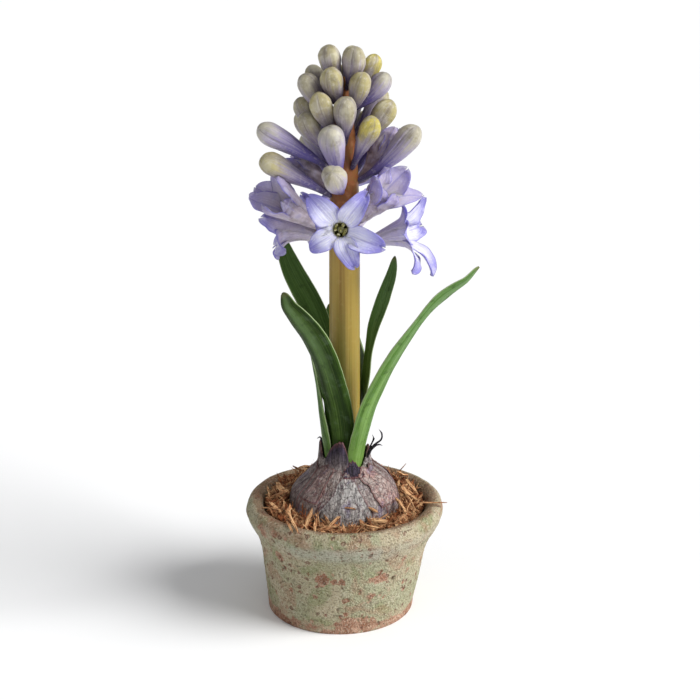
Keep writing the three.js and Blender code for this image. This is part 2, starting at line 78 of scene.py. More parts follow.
world = bpy.data.worlds.new("overcast")
bpy.context.scene.world = world
world.use_nodes = True
world.node_tree.nodes["Background"].inputs["Color"].default_value = (0.97, 0.98, 1, 1)
world.node_tree.nodes["Background"].inputs["Strength"].default_value = 0.32

sheet = bmesh.new()
bmesh.ops.create_grid(sheet, x_segments=1, y_segments=1, size=FLOOR_HALF_WIDTH)
floor = bpy.data.objects.new("floor", bpy.data.meshes.new("floor"))
sheet.to_mesh(floor.data)
bpy.context.collection.objects.link(floor)
white = bpy.data.materials.new("white floor")
white.use_nodes = True
white.node_tree.nodes["Principled BSDF"].inputs["Base Color"].default_value = (0.94, 0.94, 0.94, 1)
white.node_tree.nodes["Principled BSDF"].inputs["Roughness"].default_value = 0.9
floor.data.materials.append(white)

# ---- Pot -----------------------------------------------------------------------------------------
# A small clay pot, thick in the wall, with a flared and rounded lip, shaped by hand so that it leans a
# little. It is limewashed and has gone green with age. Red clay shows where it is rubbed and pitted.

MM = 0.001
CURVE_STEPS = 13  # between two given points of a smooth line


def evenly_spaced(points, count):
    """The same line through count + 1 points at equal distances along it."""
    lengths = [0]
    for a, b in zip(points, points[1:]):
        lengths.append(lengths[-1] + (b - a).length)
    spaced = []
    i = 0
    for k in range(count + 1):
        at = lengths[-1] * k / count
        while i < len(points) - 2 and lengths[i + 1] < at:
            i += 1
        spaced.append(points[i].lerp(points[i + 1], (at - lengths[i]) / (lengths[i + 1] - lengths[i])))
    return spaced


def flowing(points, count):
    """A smooth line through a few points, as evenly spaced points."""
    knots = [Vector(p) for p in points]
    ends = [2 * knots[0] - knots[1], *knots, 2 * knots[-1] - knots[-2]]
    line = []
    for a, b, c, d in zip(ends, ends[1:], ends[2:], ends[3:]):
        line += interpolate_bezier(b, b + (c - a) / 6, c - (d - b) / 6, c, CURVE_STEPS)
    return evenly_spaced([p for p, q in zip(line, line[1:] + [None]) if p != q], count)


def smooth_side(pairs, count):
    """A smooth profile through a few (radius, height) pairs."""
    return [(max(0, p.x), p.z) for p in flowing([(radius, 0, height) for radius, height in pairs], count)]


def facing_out(mesh):
    """Turns every face of a mesh outwards."""
    bmesh.ops.recalc_face_normals(mesh, faces=mesh.faces)
    return mesh


def turned(profile, steps, closed=False):
    """Turns (radius, height) pairs about Z. A profile that isn't closed starts and ends on the axis."""
    mesh = bmesh.new()
    row = [mesh.verts.new((radius, 0, height)) for radius, height in profile]
    edges = [mesh.edges.new(pair) for pair in zip(row, row[1:] + row[:1] if closed else row[1:])]
    whole = 2 * math.pi
    bmesh.ops.spin(mesh, geom=row + edges, axis=(0, 0, 1), angle=whole, steps=steps, use_merge=True)
    bmesh.ops.remove_doubles(mesh, verts=mesh.verts, dist=1e-5)
    facing_out(mesh).normal_update()
    return mesh


def around(turn, radius=1, height=0):
    """The place at a turn about Z, in radians."""
    return Vector((radius * math.cos(turn), radius * math.sin(turn), height))


def smoothstep(low, high, value):
    """How far a value is from low to high, from 0 to 1, with a soft start and end."""
    share = min(1, max(0, (value - low) / (high - low)))
    return share * share * (3 - 2 * share)


def lerp(a, b, share):
    return a + (b - a) * share


def turn_between(a, b):
    """The angle between two azimuths, in degrees."""
    return abs((a - b + 180) % 360 - 180)


def set_down(name, mesh, node_name, finish):
    """Makes the finished mesh a piece that stands for a node of the frame."""
    bmesh.ops.scale(mesh, vec=(MM, MM, MM), verts=mesh.verts)
    for face in mesh.faces:
        face.smooth = True
    piece = bpy.data.objects.new(name, bpy.data.meshes.new(name))
    mesh.to_mesh(piece.data)
    mesh.free()
    piece.data.materials.append(finish)
    bpy.context.collection.objects.link(piece)
    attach(piece, "root")
    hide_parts(node_name)
    return piece


def colour(code):
    """A colour that is written as six hex digits, as a shader takes it."""
    shares = [int(code[i : i + 2], 16) / 255 for i in (0, 2, 4)]
    return (*[p / 12.92 if p < 0.04045 else ((p + 0.055) / 1.055) ** 2.4 for p in shares], 1)


def finish_named(name, roughness, specular):
    """A new material, with its node tree and its shader."""
    finish = bpy.data.materials.new(name)
    finish.use_nodes = True
    shader = finish.node_tree.nodes["Principled BSDF"]
    shader.inputs["Roughness"].default_value = roughness
    shader.inputs["Specular IOR Level"].default_value = specular
    return finish, finish.node_tree, shader


def node(kind, sockets, **settings):
    """A shader node in the tree that feeds it. Each socket gets a constant, or another node's output."""
    tree = next(value.id_data for value in sockets.values() if isinstance(value, bpy.types.NodeSocket))
    made = tree.nodes.new("ShaderNode" + kind)
    for name, value in settings.items():
        setattr(made, name, value)
    for name, value in sockets.items():
        if isinstance(value, bpy.types.NodeSocket):
            tree.links.new(value, made.inputs[name])
        else:
            made.inputs[name].default_value = value
    return made


def maths(operation, a, b=0.0):
    return node("Math", {0: a, 1: b}, operation=operation).outputs[0]


def plus(a, b):
    return maths("ADD", a, b)


def minus(a, b):
    return maths("SUBTRACT", a, b)


def times(a, b):
    return maths("MULTIPLY", a, b)


def mixed(share, under, over):
    """Two colours mixed by a share from 0 to 1."""
    return node("Mix", {0: share, 6: under, 7: over}, data_type="RGBA").outputs[2]


def ranged(value, low, high, to_low=0.0, to_high=1.0):
    """A value from low to high, as one from to_low to to_high, and no further."""
    sockets = {"Value": value, "From Min": low, "From Max": high, "To Min": to_low, "To Max": to_high}
    return node("MapRange", sockets, interpolation_type="SMOOTHSTEP").outputs[0]


def two_tone(value, low, high, under, over):
    """A colour that turns into another as a value goes from low to high."""
    return mixed(ranged(value, low, high), colour(under), colour(over))


def painted(skin, coats):
    """A skin under coats of colour. Each: a value, where it sets in, where it is full, strength, colour."""
    for value, low, high, strength, code in coats:
        skin = mixed(ranged(value, low, high, 0.0, strength), skin, colour(code))
    return skin


def object_place(tree):
    return tree.nodes.new("ShaderNodeTexCoord").outputs["Object"]


def stretched(place, scale, turn=(0, 0, 0)):
    """A place turned and then scaled along each axis."""
    return node("Mapping", {"Vector": place, "Rotation": turn, "Scale": scale}).outputs[0]


def mottle(place, scale, detail=4.0, distortion=0.0, **settings):
    """A noise pattern's value, at a number of blotches to a metre."""
    sockets = {"Vector": place, "Scale": scale, "Detail": detail, "Distortion": distortion}
    return node("TexNoise", sockets, **settings).outputs[0]


def streaked(place, scale, detail, distortion=0.0, turn=(0, 0, 0)):
    """A noise pattern's value, with a scale of its own along each axis."""
    return mottle(stretched(place, scale, turn), 1.0, detail, distortion)


def laid_on(tree, name, output="Vector"):
    """An attribute that was laid on the mesh, as a vector, or as a number with the output Fac."""
    reader = tree.nodes.new("ShaderNodeAttribute")
    reader.attribute_name = name
    return reader.outputs[output]


def parts(vector):
    return node("SeparateXYZ", {0: vector}).outputs


def dressed(shader, skin, height, depth):
    """Gives a shader its colour and its relief: a height from 0 to 1, and its full rise in metres."""
    links = skin.id_data.links
    links.new(skin, shader.inputs["Base Color"])
    bump = node("Bump", {"Height": height, "Distance": depth, "Strength": 1.0})
    links.new(bump.outputs[0], shader.inputs["Normal"])


def clay_finish():
    finish, tree, shader = finish_named("limewashed clay", 0.95, 0.15)
    place = object_place(tree)
    bare, pit, stain = parts(laid_on(tree, "wear"))
    height = parts(place)[2]
    clouds = mottle(place, 30, 4, 0.5)
    blotches = mottle(place, 120, 7, 0.8)
    grain = mottle(place, 900, 6)
    grit = mottle(place, 2200, 3)
    moss = mottle(place, 44, 8, 1.0, noise_dimensions="4D")
    blush = plus(mottle(place, 58, 8, 1.2), ranged(height, 0.05, 0.058, 0.0, 0.05))
    wash = painted(two_tone(clouds, 0.36, 0.64, "b3a78c", "9e9d7f"), [
        (blotches, 0.5, 0.72, 0.5, "b9b29b"),
        (moss, 0.5, 0.64, 0.65, "7e875a"),
        (blush, 0.5, 0.7, 0.6, "a27b64"),
    ])
    under_lip = times(ranged(height, 0.044, 0.05), ranged(height, 0.058, 0.053))
    wash = mixed(times(under_lip, ranged(clouds, 0.4, 0.55, 0.15, 0.55)), wash, colour("b0b0a4"))
    rubbed = plus(mottle(place, 95, 9, 0.9), ranged(height, 0.003, 0.0085, 0.3, 0.0))
    rubbed = plus(plus(rubbed, bare), ranged(grain, 0.3, 0.7, -0.05, 0.05))
    red = two_tone(blotches, 0.35, 0.65, "93604b", "b48a74")
    skin = mixed(ranged(rubbed, 0.67, 0.77, 0.0, 0.85), wash, red)
    skin = mixed(times(stain, ranged(grain, 0.3, 0.6, 0.4, 1.0)), skin, colour("7c5238"))
    cells = node("TexVoronoi", {"Vector": place, "Scale": 210.0, "Randomness": 1.0})
    chosen = ranged(parts(cells.outputs[1])[0], 0.66, 0.7)
    near = plus(cells.outputs[0], ranged(grain, 0.3, 0.7, -0.07, 0.07))
    ring = times(chosen, ranged(near, 0.34, 0.24))
    dimple = times(chosen, ranged(near, 0.22, 0.1))
    skin = mixed(times(ring, 0.6), skin, colour("7d4a3a"))
    skin = painted(mixed(times(dimple, 0.7), skin, colour("a58e76")), [
        (grain, 0.46, 0.36, 0.55, "584b36"),
        (grain, 0.54, 0.66, 0.35, "d3ccb8"),
        (grit, 0.56, 0.68, 0.3, "ded8c8"),
        (grit, 0.42, 0.3, 0.3, "5d4f3c"),
    ])
    scored = ranged(streaked(place, (110, 110, 1100), 3, turn=(0, 0.9, 0)), 0.66, 0.72)
    skin = mixed(times(scored, 0.45), skin, colour("5d4a38"))
    skin = mixed(pit, skin, colour("4e3425"))
    relief = plus(times(grain, 0.9), times(blotches, 0.7))
    relief = minus(minus(relief, times(dimple, 0.7)), times(scored, 0.3))
    dressed(shader, skin, plus(relief, times(clouds, 0.6)), 0.0018)
    return finish


POT_LEAN = -2.4  # how far the base stands to the left of the lip
POT_TAPER = 0.026  # how much narrower its foot is across than from front to back
POT_LEAN_TOP = 48  # above this height it stands straight
POT_RINGS = 120
POT_STEPS = 400
POT_BANDS = 66  # one for each millimetre of its height, and two over
POT_WALL = [
    (41.3, 0), (42.05, 1.2), (42.3, 5), (43.4, 13), (45.0, 24), (46.9, 37), (49.4, 45), (53.1, 52),
    (54.75, 57.6), (53.2, 62.5), (50.5, 63.9), (47.6, 63.2), (45.6, 61.2), (44.6, 58.2),
]
POT_INSIDE = [(43, 48), (40, 28), (36.5, 7), (18, 7), (0, 7)]

# Pits and scars in the wall: azimuth in degrees, height, radius, depth, and how red their border is.
POT_PITS = [
    (-104.5, 33.6, 2.6, 0.5, 0.34), (-96, 33.2, 1.3, 0.5, 0.3), (-91, 33, 1.6, 0.5, 0.3),
    (-82, 34, 1.0, 0.4, 0.24), (-110, 23, 1.0, 0.5, 0.2), (-100, 24.5, 1.2, 0.5, 0.24),
    (-86, 22, 1.2, 0.5, 0.24), (-78, 26.6, 1.4, 0.5, 0.3), (-53, 31, 1.7, 1.2, 0.1),
    (-62, 24, 1.1, 0.5, 0.24), (-136, 43, 2.2, 0.6, 0.3), (-134, 36, 1.3, 0.6, 0.2),
    (-126, 30, 1.0, 0.6, 0.1), (-143, 56, 1.9, 0.5, 0.34), (-69, 19, 1.2, 0.5, 0.2),
    (-115, 14, 1.1, 0.4, 0.2),
]
SCATTERED_PITS = 130
PIT_REACH = 8  # no pit is wider than this, in degrees to each side
# Where the wash is rubbed off the red clay: azimuth, height, half width in degrees, half height, amount.
POT_RUBS = [
    (-66, 33, 11, 3.2, 0.26), (-78, 7.5, 15, 3.6, 0.27), (-140, 59, 18, 3, 0.24), (-120, 58, 22, 2, 0.2),
    (-88, 57, 34, 1.4, 0.1), (-62, 24, 13, 7, 0.15), (-72, 17, 9, 4, 0.14), (60, 30, 14, 6, 0.22),
    (150, 12, 22, 5, 0.22), (10, 60, 30, 2, 0.2), (-45, 36, 8, 5, 0.14), (-96, 28, 12, 5, 0.12),
    (110, 44, 10, 4, 0.2), (-160, 8, 20, 4, 0.24),
]


def pot_body():
    """The turned wall, with its stain, its pits, its rubbed places and its lean."""
    wall = smooth_side(POT_WALL, POT_RINGS)
    mesh = turned([(0, 0), (20, 0), (36, 0), *wall, *POT_INSIDE], POT_STEPS)
    wear = mesh.verts.layers.float_vector.new("wear")  # bare clay, pit, stain
    sink = mesh.verts.layers.float.new("sink")
    by_height = [[] for _ in range(POT_BANDS)]  # the points of the wall's outside and the lip
    for v in mesh.verts:
        radius = math.hypot(v.co.x, v.co.y)
        if radius > 38 and v.co.z > 0.1 and (v.co.z > 60 or radius > 41.9):
            by_height[int(v.co.z)].append((v, math.degrees(math.atan2(v.co.y, v.co.x)), radius))
        v[wear] = (0, 0, smoothstep(61.5, 59, v.co.z) if v.co.z > 50 and radius < 46.5 else 0)
        ragged = radius + 1.5 * noise.noise(v.co / 5)
        v[wear].z = max(v[wear].z, 0.8 * smoothstep(52.4, 49.8, ragged) * smoothstep(60, 62, v.co.z))
    draw = random.Random(61)
    scattered = [
        (draw.uniform(-180, 180), draw.uniform(6, 52), draw.uniform(0.6, 1.3), draw.uniform(0.3, 0.8), 0.22)
        for _ in range(SCATTERED_PITS)
    ]
    for at, height, size, depth, red in POT_PITS + scattered:
        for v, azimuth, radius in sum(by_height[max(0, int(height - 5)) : int(height + 6)], []):
            if turn_between(azimuth, at) > PIT_REACH:
                continue
            away = math.hypot(math.radians(turn_between(azimuth, at)) * radius, v.co.z - height) / size
            ragged = away * (1 + 0.35 * noise.noise(v.co / 1.4))
            v[sink] = max(v[sink], depth * smoothstep(1.1, 0.5, ragged))
            v[wear].y = max(v[wear].y, 0.8 * smoothstep(1.0, 0.45, ragged) * smoothstep(0.25, 0.9, depth))
            v[wear].x = max(v[wear].x, red * smoothstep(1.9, 1.1, ragged))
    for v, azimuth, radius in sum(by_height, []):
        for at, height, wide, high, amount in POT_RUBS:
            away = math.hypot(turn_between(azimuth, at) / wide, (v.co.z - height) / high)
            v[wear].x = max(v[wear].x, amount * smoothstep(1.5, 0.4, away))
        wobble = 0.5 * noise.noise(v.co / 22) + 0.2 * noise.noise(v.co / 5)
        rings = 0.09 * math.sin(v.co.z * 1.35 + 2 * noise.noise(v.co / 30))
        v.co += v.normal * (wobble + rings - v[sink] - 0.25)
    for v in mesh.verts:
        below = max(0, 1 - v.co.z / POT_LEAN_TOP)
        v.co.x = v.co.x * (1 - POT_TAPER * below) + POT_LEAN * below
        v.co.z = max(0, v.co.z)
    return mesh


set_down("pot_clay", pot_body(), "pot", clay_finish())

# ---- Soil ----------------------------------------------------------------------------------------
# Dark potting soil holds the bulb's lower half. The bark mulch hides it, so the plain body stays and
# gets a crumbly finish.


def soil_finish():
    finish, tree, shader = finish_named("potting soil", 1.0, 0.1)
    crumbs = mottle(object_place(tree), 400, 6)
    dressed(shader, two_tone(crumbs, 0.4, 0.65, "1d140e", "4a3527"), crumbs, 0.0015)
    return finish


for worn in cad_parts["soil"].material_slots:
    worn.material = soil_finish()

# ---- Bark mulch ----------------------------------------------------------------------------------
# Shredded bark lies round the bulb: a bed painted near-black as the shade in the gaps between the chips,
# and on it hundreds of splintered chips and fibres that were tossed in by hand. A few lie on the bulb's
# shoulder, and some reach over the lip.

MULCH_TOP = 59
MULCH_INNER = 29
MULCH_OUTER = 44.2
BED_STEPS = 120
CHIP_COUNT = 900
FIBRE_COUNT = 850
BLANK_SPACING = 3  # between the unit blocks that chips are shaped from

# Chips that lie where they catch the eye: both ends in millimetres, then width, thickness and tone.
PLACED_CHIPS = [
    ((-29, -22, 67), (-24.8, -46, 63.6), 1.5, 0.6, 0.8),
    ((-31, -36, 65.5), (-27.5, -47.5, 63.5), 1.2, 0.5, 0.65),
    ((4, -27, 69.5), (-8.5, -35.5, 61), 1.3, 0.8, 0.95), ((-1, -28, 69), (7, -28.6, 68), 1.2, 0.7, 0.55),
    ((13, -26, 68.5), (18, -27.5, 66), 1.6, 0.9, 0.7),
    ((-17.5, -29, 68), (-20.5, -35.5, 60.5), 1.9, 0.8, 0.9),
    ((41, -16, 67), (55, -12.5, 65.4), 0.9, 0.6, 0.6), ((14, -33, 64), (24, -31, 62.5), 2.8, 1.1, 0.95),
    ((28, -14, 69), (33, -24, 64), 2.2, 1.0, 0.85), ((31, -2, 71), (39, -9, 66), 2.2, 1.1, 0.8),
    ((-42, -13, 67), (-34, -26, 65), 1.8, 0.9, 0.8), ((-38, 6, 70), (-30, -4, 67), 3.0, 1.2, 0.9),
    ((27, -33, 62.5), (33, -27, 64.5), 2.0, 0.9, 0.6), ((-14, -40.5, 61.5), (-3, -42, 61), 1.2, 0.7, 0.5),
    ((34, 8, 71.5), (40, -2, 67), 1.6, 0.9, 0.9), ((-27, 22, 71), (-20, 30, 69), 2.4, 1.0, 0.7),
    ((-36, -27, 67), (-45, -19, 65), 1.4, 0.8, 0.65), ((-22, -39, 64), (-19, -45.5, 63.2), 1.0, 0.6, 0.8),
    ((30, 16, 72), (36, 24, 67), 2.0, 0.9, 0.75), ((8, -36, 63.5), (20, -38.5, 61.5), 1.0, 0.7, 0.85),
    ((33, -12, 71.5), (38, -20, 65), 1.4, 0.8, 0.95), ((-33, -8, 70), (-40, -4, 66), 2.0, 0.9, 0.6),
]


def mulch_level(azimuth):
    """The height of the mulch, which is heaped a little towards the back and the left."""
    return MULCH_TOP + 2.6 * math.sin(azimuth) - 1.2 * math.cos(azimuth)


def blanks(count, across, along):
    """A row of unit blocks cut into columns and rows: x runs across each, y along it and z through it."""
    mesh = bmesh.new()
    for number in range(count):
        bmesh.ops.create_cube(mesh, size=1, matrix=Matrix.Translation((number * BLANK_SPACING, 0, 0)))
    for axis, cuts in ((1, along - 1), (0, across - 1)):
        rungs = [e for e in mesh.edges if abs((e.verts[0].co - e.verts[1].co)[axis]) > 0.9]
        if cuts:
            bmesh.ops.subdivide_edges(mesh, edges=rungs, cuts=cuts)
    return mesh


def pour(into, part):
    """Adds one mesh to another, with its attributes."""
    scrap = bpy.data.meshes.new("part")
    part.to_mesh(scrap)
    part.free()
    into.from_mesh(scrap)
    bpy.data.meshes.remove(scrap)


def chips(splinters, across, along, seed):
    """Splinters of bark, each between its two ends: bowed, twisted and ragged."""
    draw = random.Random(seed)
    mesh = blanks(len(splinters), across, along)
    fibre = mesh.verts.layers.float_vector.new("fibre")
    shade = mesh.verts.layers.float_vector.new("shade")
    ways = []
    for start, end, *_ in splinters:
        start, end = Vector(start), Vector(end)
        heading = (end - start).normalized()
        slope = Vector((draw.uniform(-0.5, 0.5), draw.uniform(-0.5, 0.5), 1))
        sideways = heading.cross(slope).normalized()
        bow = draw.uniform(-0.08, 0.14) * (end - start).length
        sweep = draw.uniform(-0.12, 0.12) * (end - start).length
        frays = [draw.uniform(-0.14, 0.14) for _ in range(2 * across + 2)]
        twist, shift = draw.uniform(-0.9, 0.9), draw.uniform(0, 50)
        ways.append((start, end, heading, sideways, bow, sweep, frays, twist, shift))
    for v in mesh.verts:
        number = round(v.co.x / BLANK_SPACING)
        start, end, heading, sideways, bow, sweep, frays, twist, shift = ways[number]
        _, _, width, thickness, tone = splinters[number]
        x = v.co.x - BLANK_SPACING * number
        column = round(across * (x + 0.5))
        share = v.co.y + 0.5
        at_end = share < 0.01 or share > 0.99
        slip = frays[column + (across + 1 if share > 0.5 else 0)] if at_end else 0
        narrow = (0.35 if at_end else 1.0) * (1 + 0.3 * noise.noise(Vector((share * 3, column * 2, shift))))
        turn = twist * (share - 0.5)
        out = sideways * math.cos(turn) + heading.cross(sideways) * math.sin(turn)
        arch = math.sin(math.pi * share)
        middle = start.lerp(end, share + slip) + Vector((0, 0, bow * arch)) + sideways * sweep * arch
        v[fibre] = (x * width, v.co.z * thickness, shift + share * (end - start).length)
        v[shade] = (tone, 0, 0)
        thinned = 0.5 if at_end else 1
        v.co = middle + out * x * width * narrow + out.cross(heading) * v.co.z * thickness * thinned
    return facing_out(mesh)


def tossed(count, draw, lengths, widths, thicknesses):
    """Chips that lie as they fell on the mulch, between the bulb and the pot's wall."""
    splinters = []
    for _ in range(count):
        azimuth = draw.uniform(-math.pi, math.pi)
        radius = draw.uniform(31.2, 42.4)
        lie = draw.uniform(0, math.pi)
        tilt = math.radians(draw.uniform(-8, 30) if draw.random() < 0.75 else draw.uniform(30, 60))
        middle = around(azimuth, radius, mulch_level(azimuth))
        middle.z += draw.uniform(-0.6, 2.2) + 1.8 * noise.noise(middle / 7)
        reach = around(lie, math.cos(tilt), math.sin(tilt))
        reach *= draw.uniform(*lengths) * draw.uniform(0.35, 0.5)
        ends = [middle - reach, middle + reach]
        for end in ends:
            out = math.hypot(end.x, end.y)
            kept = min(43.6, max(30.4, out))
            end.x *= kept / out
            end.y *= kept / out
            end.z = max(end.z, mulch_level(azimuth) - 2.5)
        tone = min(1, max(0.1, draw.choice((0.25, 0.45, 0.6, 0.9)) + draw.uniform(-0.12, 0.12)))
        splinters.append((*ends, draw.uniform(*widths), draw.uniform(*thicknesses), tone))
    return splinters


def mulch_pile():
    """The bed, and all the bark that lies on it."""
    draw = random.Random(29)
    bed = [
        (MULCH_INNER, 47), (MULCH_INNER, 57), (31, 58.2), (34, 58.6), (38, 58.8), (41.5, 59), (43.8, 58.4),
        (MULCH_OUTER, 47),
    ]
    mesh = turned(bed, BED_STEPS, closed=True)
    for v in mesh.verts:
        if v.co.z > 50:
            azimuth = math.atan2(v.co.y, v.co.x)
            v.co.z += mulch_level(azimuth) - MULCH_TOP - 1.2 + 1.6 * noise.noise(v.co / 3.1)
    broad = PLACED_CHIPS + tossed(CHIP_COUNT, draw, (6, 17), (0.8, 2.7), (0.5, 1.1))
    fine = tossed(FIBRE_COUNT, draw, (8, 26), (0.3, 0.65), (0.25, 0.5))
    pour(mesh, chips(broad, across=2, along=6, seed=5))
    pour(mesh, chips(fine, across=1, along=7, seed=6))
    return mesh


def bark_finish():
    finish, tree, shader = finish_named("shredded bark", 0.85, 0.2)
    tone = parts(laid_on(tree, "shade"))[0]
    streaks = streaked(laid_on(tree, "fibre"), (4.5, 4.5, 0.22), 6)
    blotches = mottle(object_place(tree), 420, 4)
    dark = two_tone(streaks, 0.36, 0.62, "4c2718", "a8643c")
    light = two_tone(streaks, 0.36, 0.62, "98552f", "e6bd8c")
    bark = mixed(ranged(tone, 0.2, 0.9), dark, light)
    bark = painted(bark, [(blotches, 0.52, 0.66, 0.7, "3d2117")])
    # The bed, whose tone is 0, turns near-black: painted shade in the gaps between the chips.
    bark = mixed(ranged(tone, 0.0, 0.08, 1.0, 0.0), bark, colour("22120b"))
    dressed(shader, bark, streaks, 0.0005)
    return finish


shreds = set_down("mulch_shreds", mulch_pile(), "bark_mulch", bark_finish())
shreds.data.shade_flat()

# ---- Bulb ----------------------------------------------------------------------------------------
# The bulb stands half out of the mulch. Its flesh is wrapped in papery grey tunics that overlap, crack
# and peel, and at its neck their dark tips stand up round the leaves or have dried and curled away.

BULB_RINGS = 110
BULB_STEPS = 260
BULB_LINE = [
    (0, 20), (9, 20.6), (21, 30), (28.4, 44), (30, 57), (28.6, 68), (22.6, 77.5), (15.6, 83.5), (12.6, 89),
]
WELL_RADIUS = 11.7
NECK_FLOOR = 80  # the bottom of the well that the leaves and the scape stand in
NECK_TOP = 89
SHOULDER = 77  # the height of its shoulder
SLOPING_SHOULDER = 2.6  # how much less it bulges on the left
SHEET_COLUMNS = 44
SHEET_ROWS = 52
SHEET_RADIUS = 26  # where a sheet's width is measured
FIBRE_RUN = 30  # the length over which the fibres' pattern runs on by one

# Scale tips round the neck: azimuth of the peak, how far it spreads clockwise and counter-clockwise in
# degrees, height above the collar, and how dark it is.
SCALE_TIPS = [
    (-97, 50, 22, 12.4, 1.15), (172, 26, 26, 8, 0.5), (118, 30, 30, 6, 0.6), (62, 32, 32, 7, 0.5),
    (8, 26, 26, 5, 0.4),
]
COLLAR_DIP = (-55, 36, 4.2)  # where the collar sags: azimuth, half width in degrees, depth

upper_bulb = [p for p in smooth_side(BULB_LINE, 240) if p[1] > 40]


def radius_at(profile, height):
    """The radius at a height of a profile of (radius, height) pairs that climb."""
    i = min(max(1, bisect_left(profile, height, key=lambda pair: pair[1])), len(profile) - 1)
    low, high = profile[i - 1], profile[i]
    return lerp(low[0], high[0], min(1, max(0, (height - low[1]) / (high[1] - low[1]))))


def bulb_radius(height, azimuth):
    """How far the bulb's flesh reaches at a height, on its widest part and above."""
    leftwards = max(0, -math.cos(math.radians(azimuth)))
    sloped = SLOPING_SHOULDER * leftwards * math.exp(-(((height - SHOULDER) / 5) ** 2))
    return radius_at(upper_bulb, height) - sloped


def scale_tip(azimuth):
    """The height of the scale tip at an azimuth, and how dark it is there."""
    best = (0, 0.35)
    for at, clockwise, counter, height, dark in SCALE_TIPS:
        away = (azimuth - at + 180) % 360 - 180
        near = max(0, 1 - (away / counter if away > 0 else -away / clockwise))
        best = max(best, (height * math.sin(near * math.pi / 2) ** 1.25, dark))
    return best


def collar_height(azimuth):
    """How far the neck's ragged edge stands above or below its level."""
    at, half, depth = COLLAR_DIP
    dip = max(0, 1 - turn_between(azimuth, at) / half)
    ragged = 0.8 * noise.noise(Vector((azimuth / 4, 0, 3)))
    ragged += 0.5 * noise.noise(Vector((azimuth / 1.3, 0, 7)))
    return scale_tip(azimuth)[0] - depth * smoothstep(0, 0.6, dip) + ragged


def crumple(place):
    """The creases of dry skin: long wrinkles that run up the bulb, and a fine crackle."""
    round_it = around(math.atan2(place.y, place.x))
    wrinkle = noise.ridged_multi_fractal(round_it * 6 + Vector((0, 0, place.z / 16)), 1, 2, 3, 1, 2)
    crackle = noise.ridged_multi_fractal(place / 4.5, 1, 2, 4, 1, 2)
    return 0.28 * (wrinkle - 1) + 0.2 * (crackle - 1)


def skin_layers(mesh):
    """What the tunics' finish reads: the fibres' run, the hue (silver, dark, blush), and the edge."""
    vectors, numbers = mesh.verts.layers.float_vector, mesh.verts.layers.float
    return vectors.new("fibre"), vectors.new("hue"), numbers.new("edge")


def bulb_flesh():
    """The bulb under its sheets, with the collar round its neck and the well inside."""
    well = [(WELL_RADIUS + 0.3, NECK_TOP), (WELL_RADIUS, 86), (WELL_RADIUS, 83)]
    well += [(WELL_RADIUS - 0.2, NECK_FLOOR), (0, NECK_FLOOR)]
    mesh = turned([*smooth_side(BULB_LINE, BULB_RINGS), *well], BULB_STEPS)
    fibre, hue, edge = skin_layers(mesh)
    for v in mesh.verts:
        azimuth = math.degrees(math.atan2(v.co.y, v.co.x))
        radius = math.hypot(v.co.x, v.co.y)
        is_well = radius < WELL_RADIUS + 0.4 and v.co.z > NECK_FLOOR - 0.5
        v[fibre] = around(math.radians(azimuth), 1, v.co.z / FIBRE_RUN)
        lift = smoothstep(83, NECK_TOP, v.co.z)
        tip = collar_height(azimuth) * lift
        dark = scale_tip(azimuth)[1] * smoothstep(81, NECK_TOP, v.co.z) * smoothstep(-1, 3, tip)
        blush = 0.4 * smoothstep(-0.1, 0.4, noise.noise(v.co / 8))
        v[hue] = (0.35 + 0.3 * noise.noise(v.co / 12), dark, blush)
        if not is_well and radius > 1:
            target = bulb_radius(v.co.z, azimuth) if v.co.z > 45 else radius
            grow = (target + crumple(v.co)) / radius
            v.co.x *= grow
            v.co.y *= grow
        flare = 1 + 0.01 * max(0, tip) + 0.03 * lift * noise.noise(Vector((azimuth / 9, tip / 4, 1)))
        v.co.x *= flare
        v.co.y *= flare
        v.co.z += tip
        v[edge] = smoothstep(0.9, 1, lift) * smoothstep(-1, 3, tip)
    return mesh


# Each sheet: its left edge's azimuth at the bottom and at the top, its right edge's, its lowest and
# highest points, where its peak is from 0 to 1, its hue, how proud it lies and how far its edges peel.
TUNICS = [
    ((-186, -158), (-128, -112), 50, 87, 0.6, (0.1, 0.3, 0.5), 0.1, 0.3),
    ((-160, -132), (-92, -94), 48, 86, 0.8, (0.5, 0.0, 0.45), 0.22, 0.35),
    ((-74, -76), (-20, -46), 50, 85, 0.3, (0.5, 0.1, 0.25), 0.12, 0.3),
    ((-36, -46), (12, -4), 50, 86, 0.5, (0.25, 0.2, 0.5), 0.2, 0.3),
    ((-2, -10), (60, 40), 50, 87, 0.5, (0.5, 0.1, 0.3), 0.1, 0.3),
    ((50, 36), (122, 96), 50, 86, 0.6, (0.35, 0.2, 0.4), 0.25, 0.3),
    ((112, 90), (182, 150), 50, 87, 0.4, (0.55, 0.1, 0.2), 0.1, 0.3),
    ((172, 146), (214, 206), 50, 87, 0.5, (0.3, 0.3, 0.5), 0.3, 0.3),
    ((-138, -100), (-46, -72), 47, 84, 0.5, (1.0, 0.0, 0.0), 0.42, 0.45),
    ((-48, -66), (-8, -26), 66, 86, 0.3, (0.5, 0.0, 1.3), 0.5, 0.6),
    ((-148, -134), (-122, -112), 69, 89, 0.7, (0.3, 0.15, 0.9), 0.4, 0.6),
    ((-92, -92), (-52, -54), 81.5, 89.5, 0.5, (0.1, 1.0, 0.0), 0.5, 0.2),
    ((20, 10), (60, 48), 68, 89, 0.5, (0.2, 0.3, 0.8), 0.35, 0.6),
    ((120, 112), (160, 140), 66, 88, 0.6, (0.6, 0.1, 0.7), 0.35, 0.7),
]


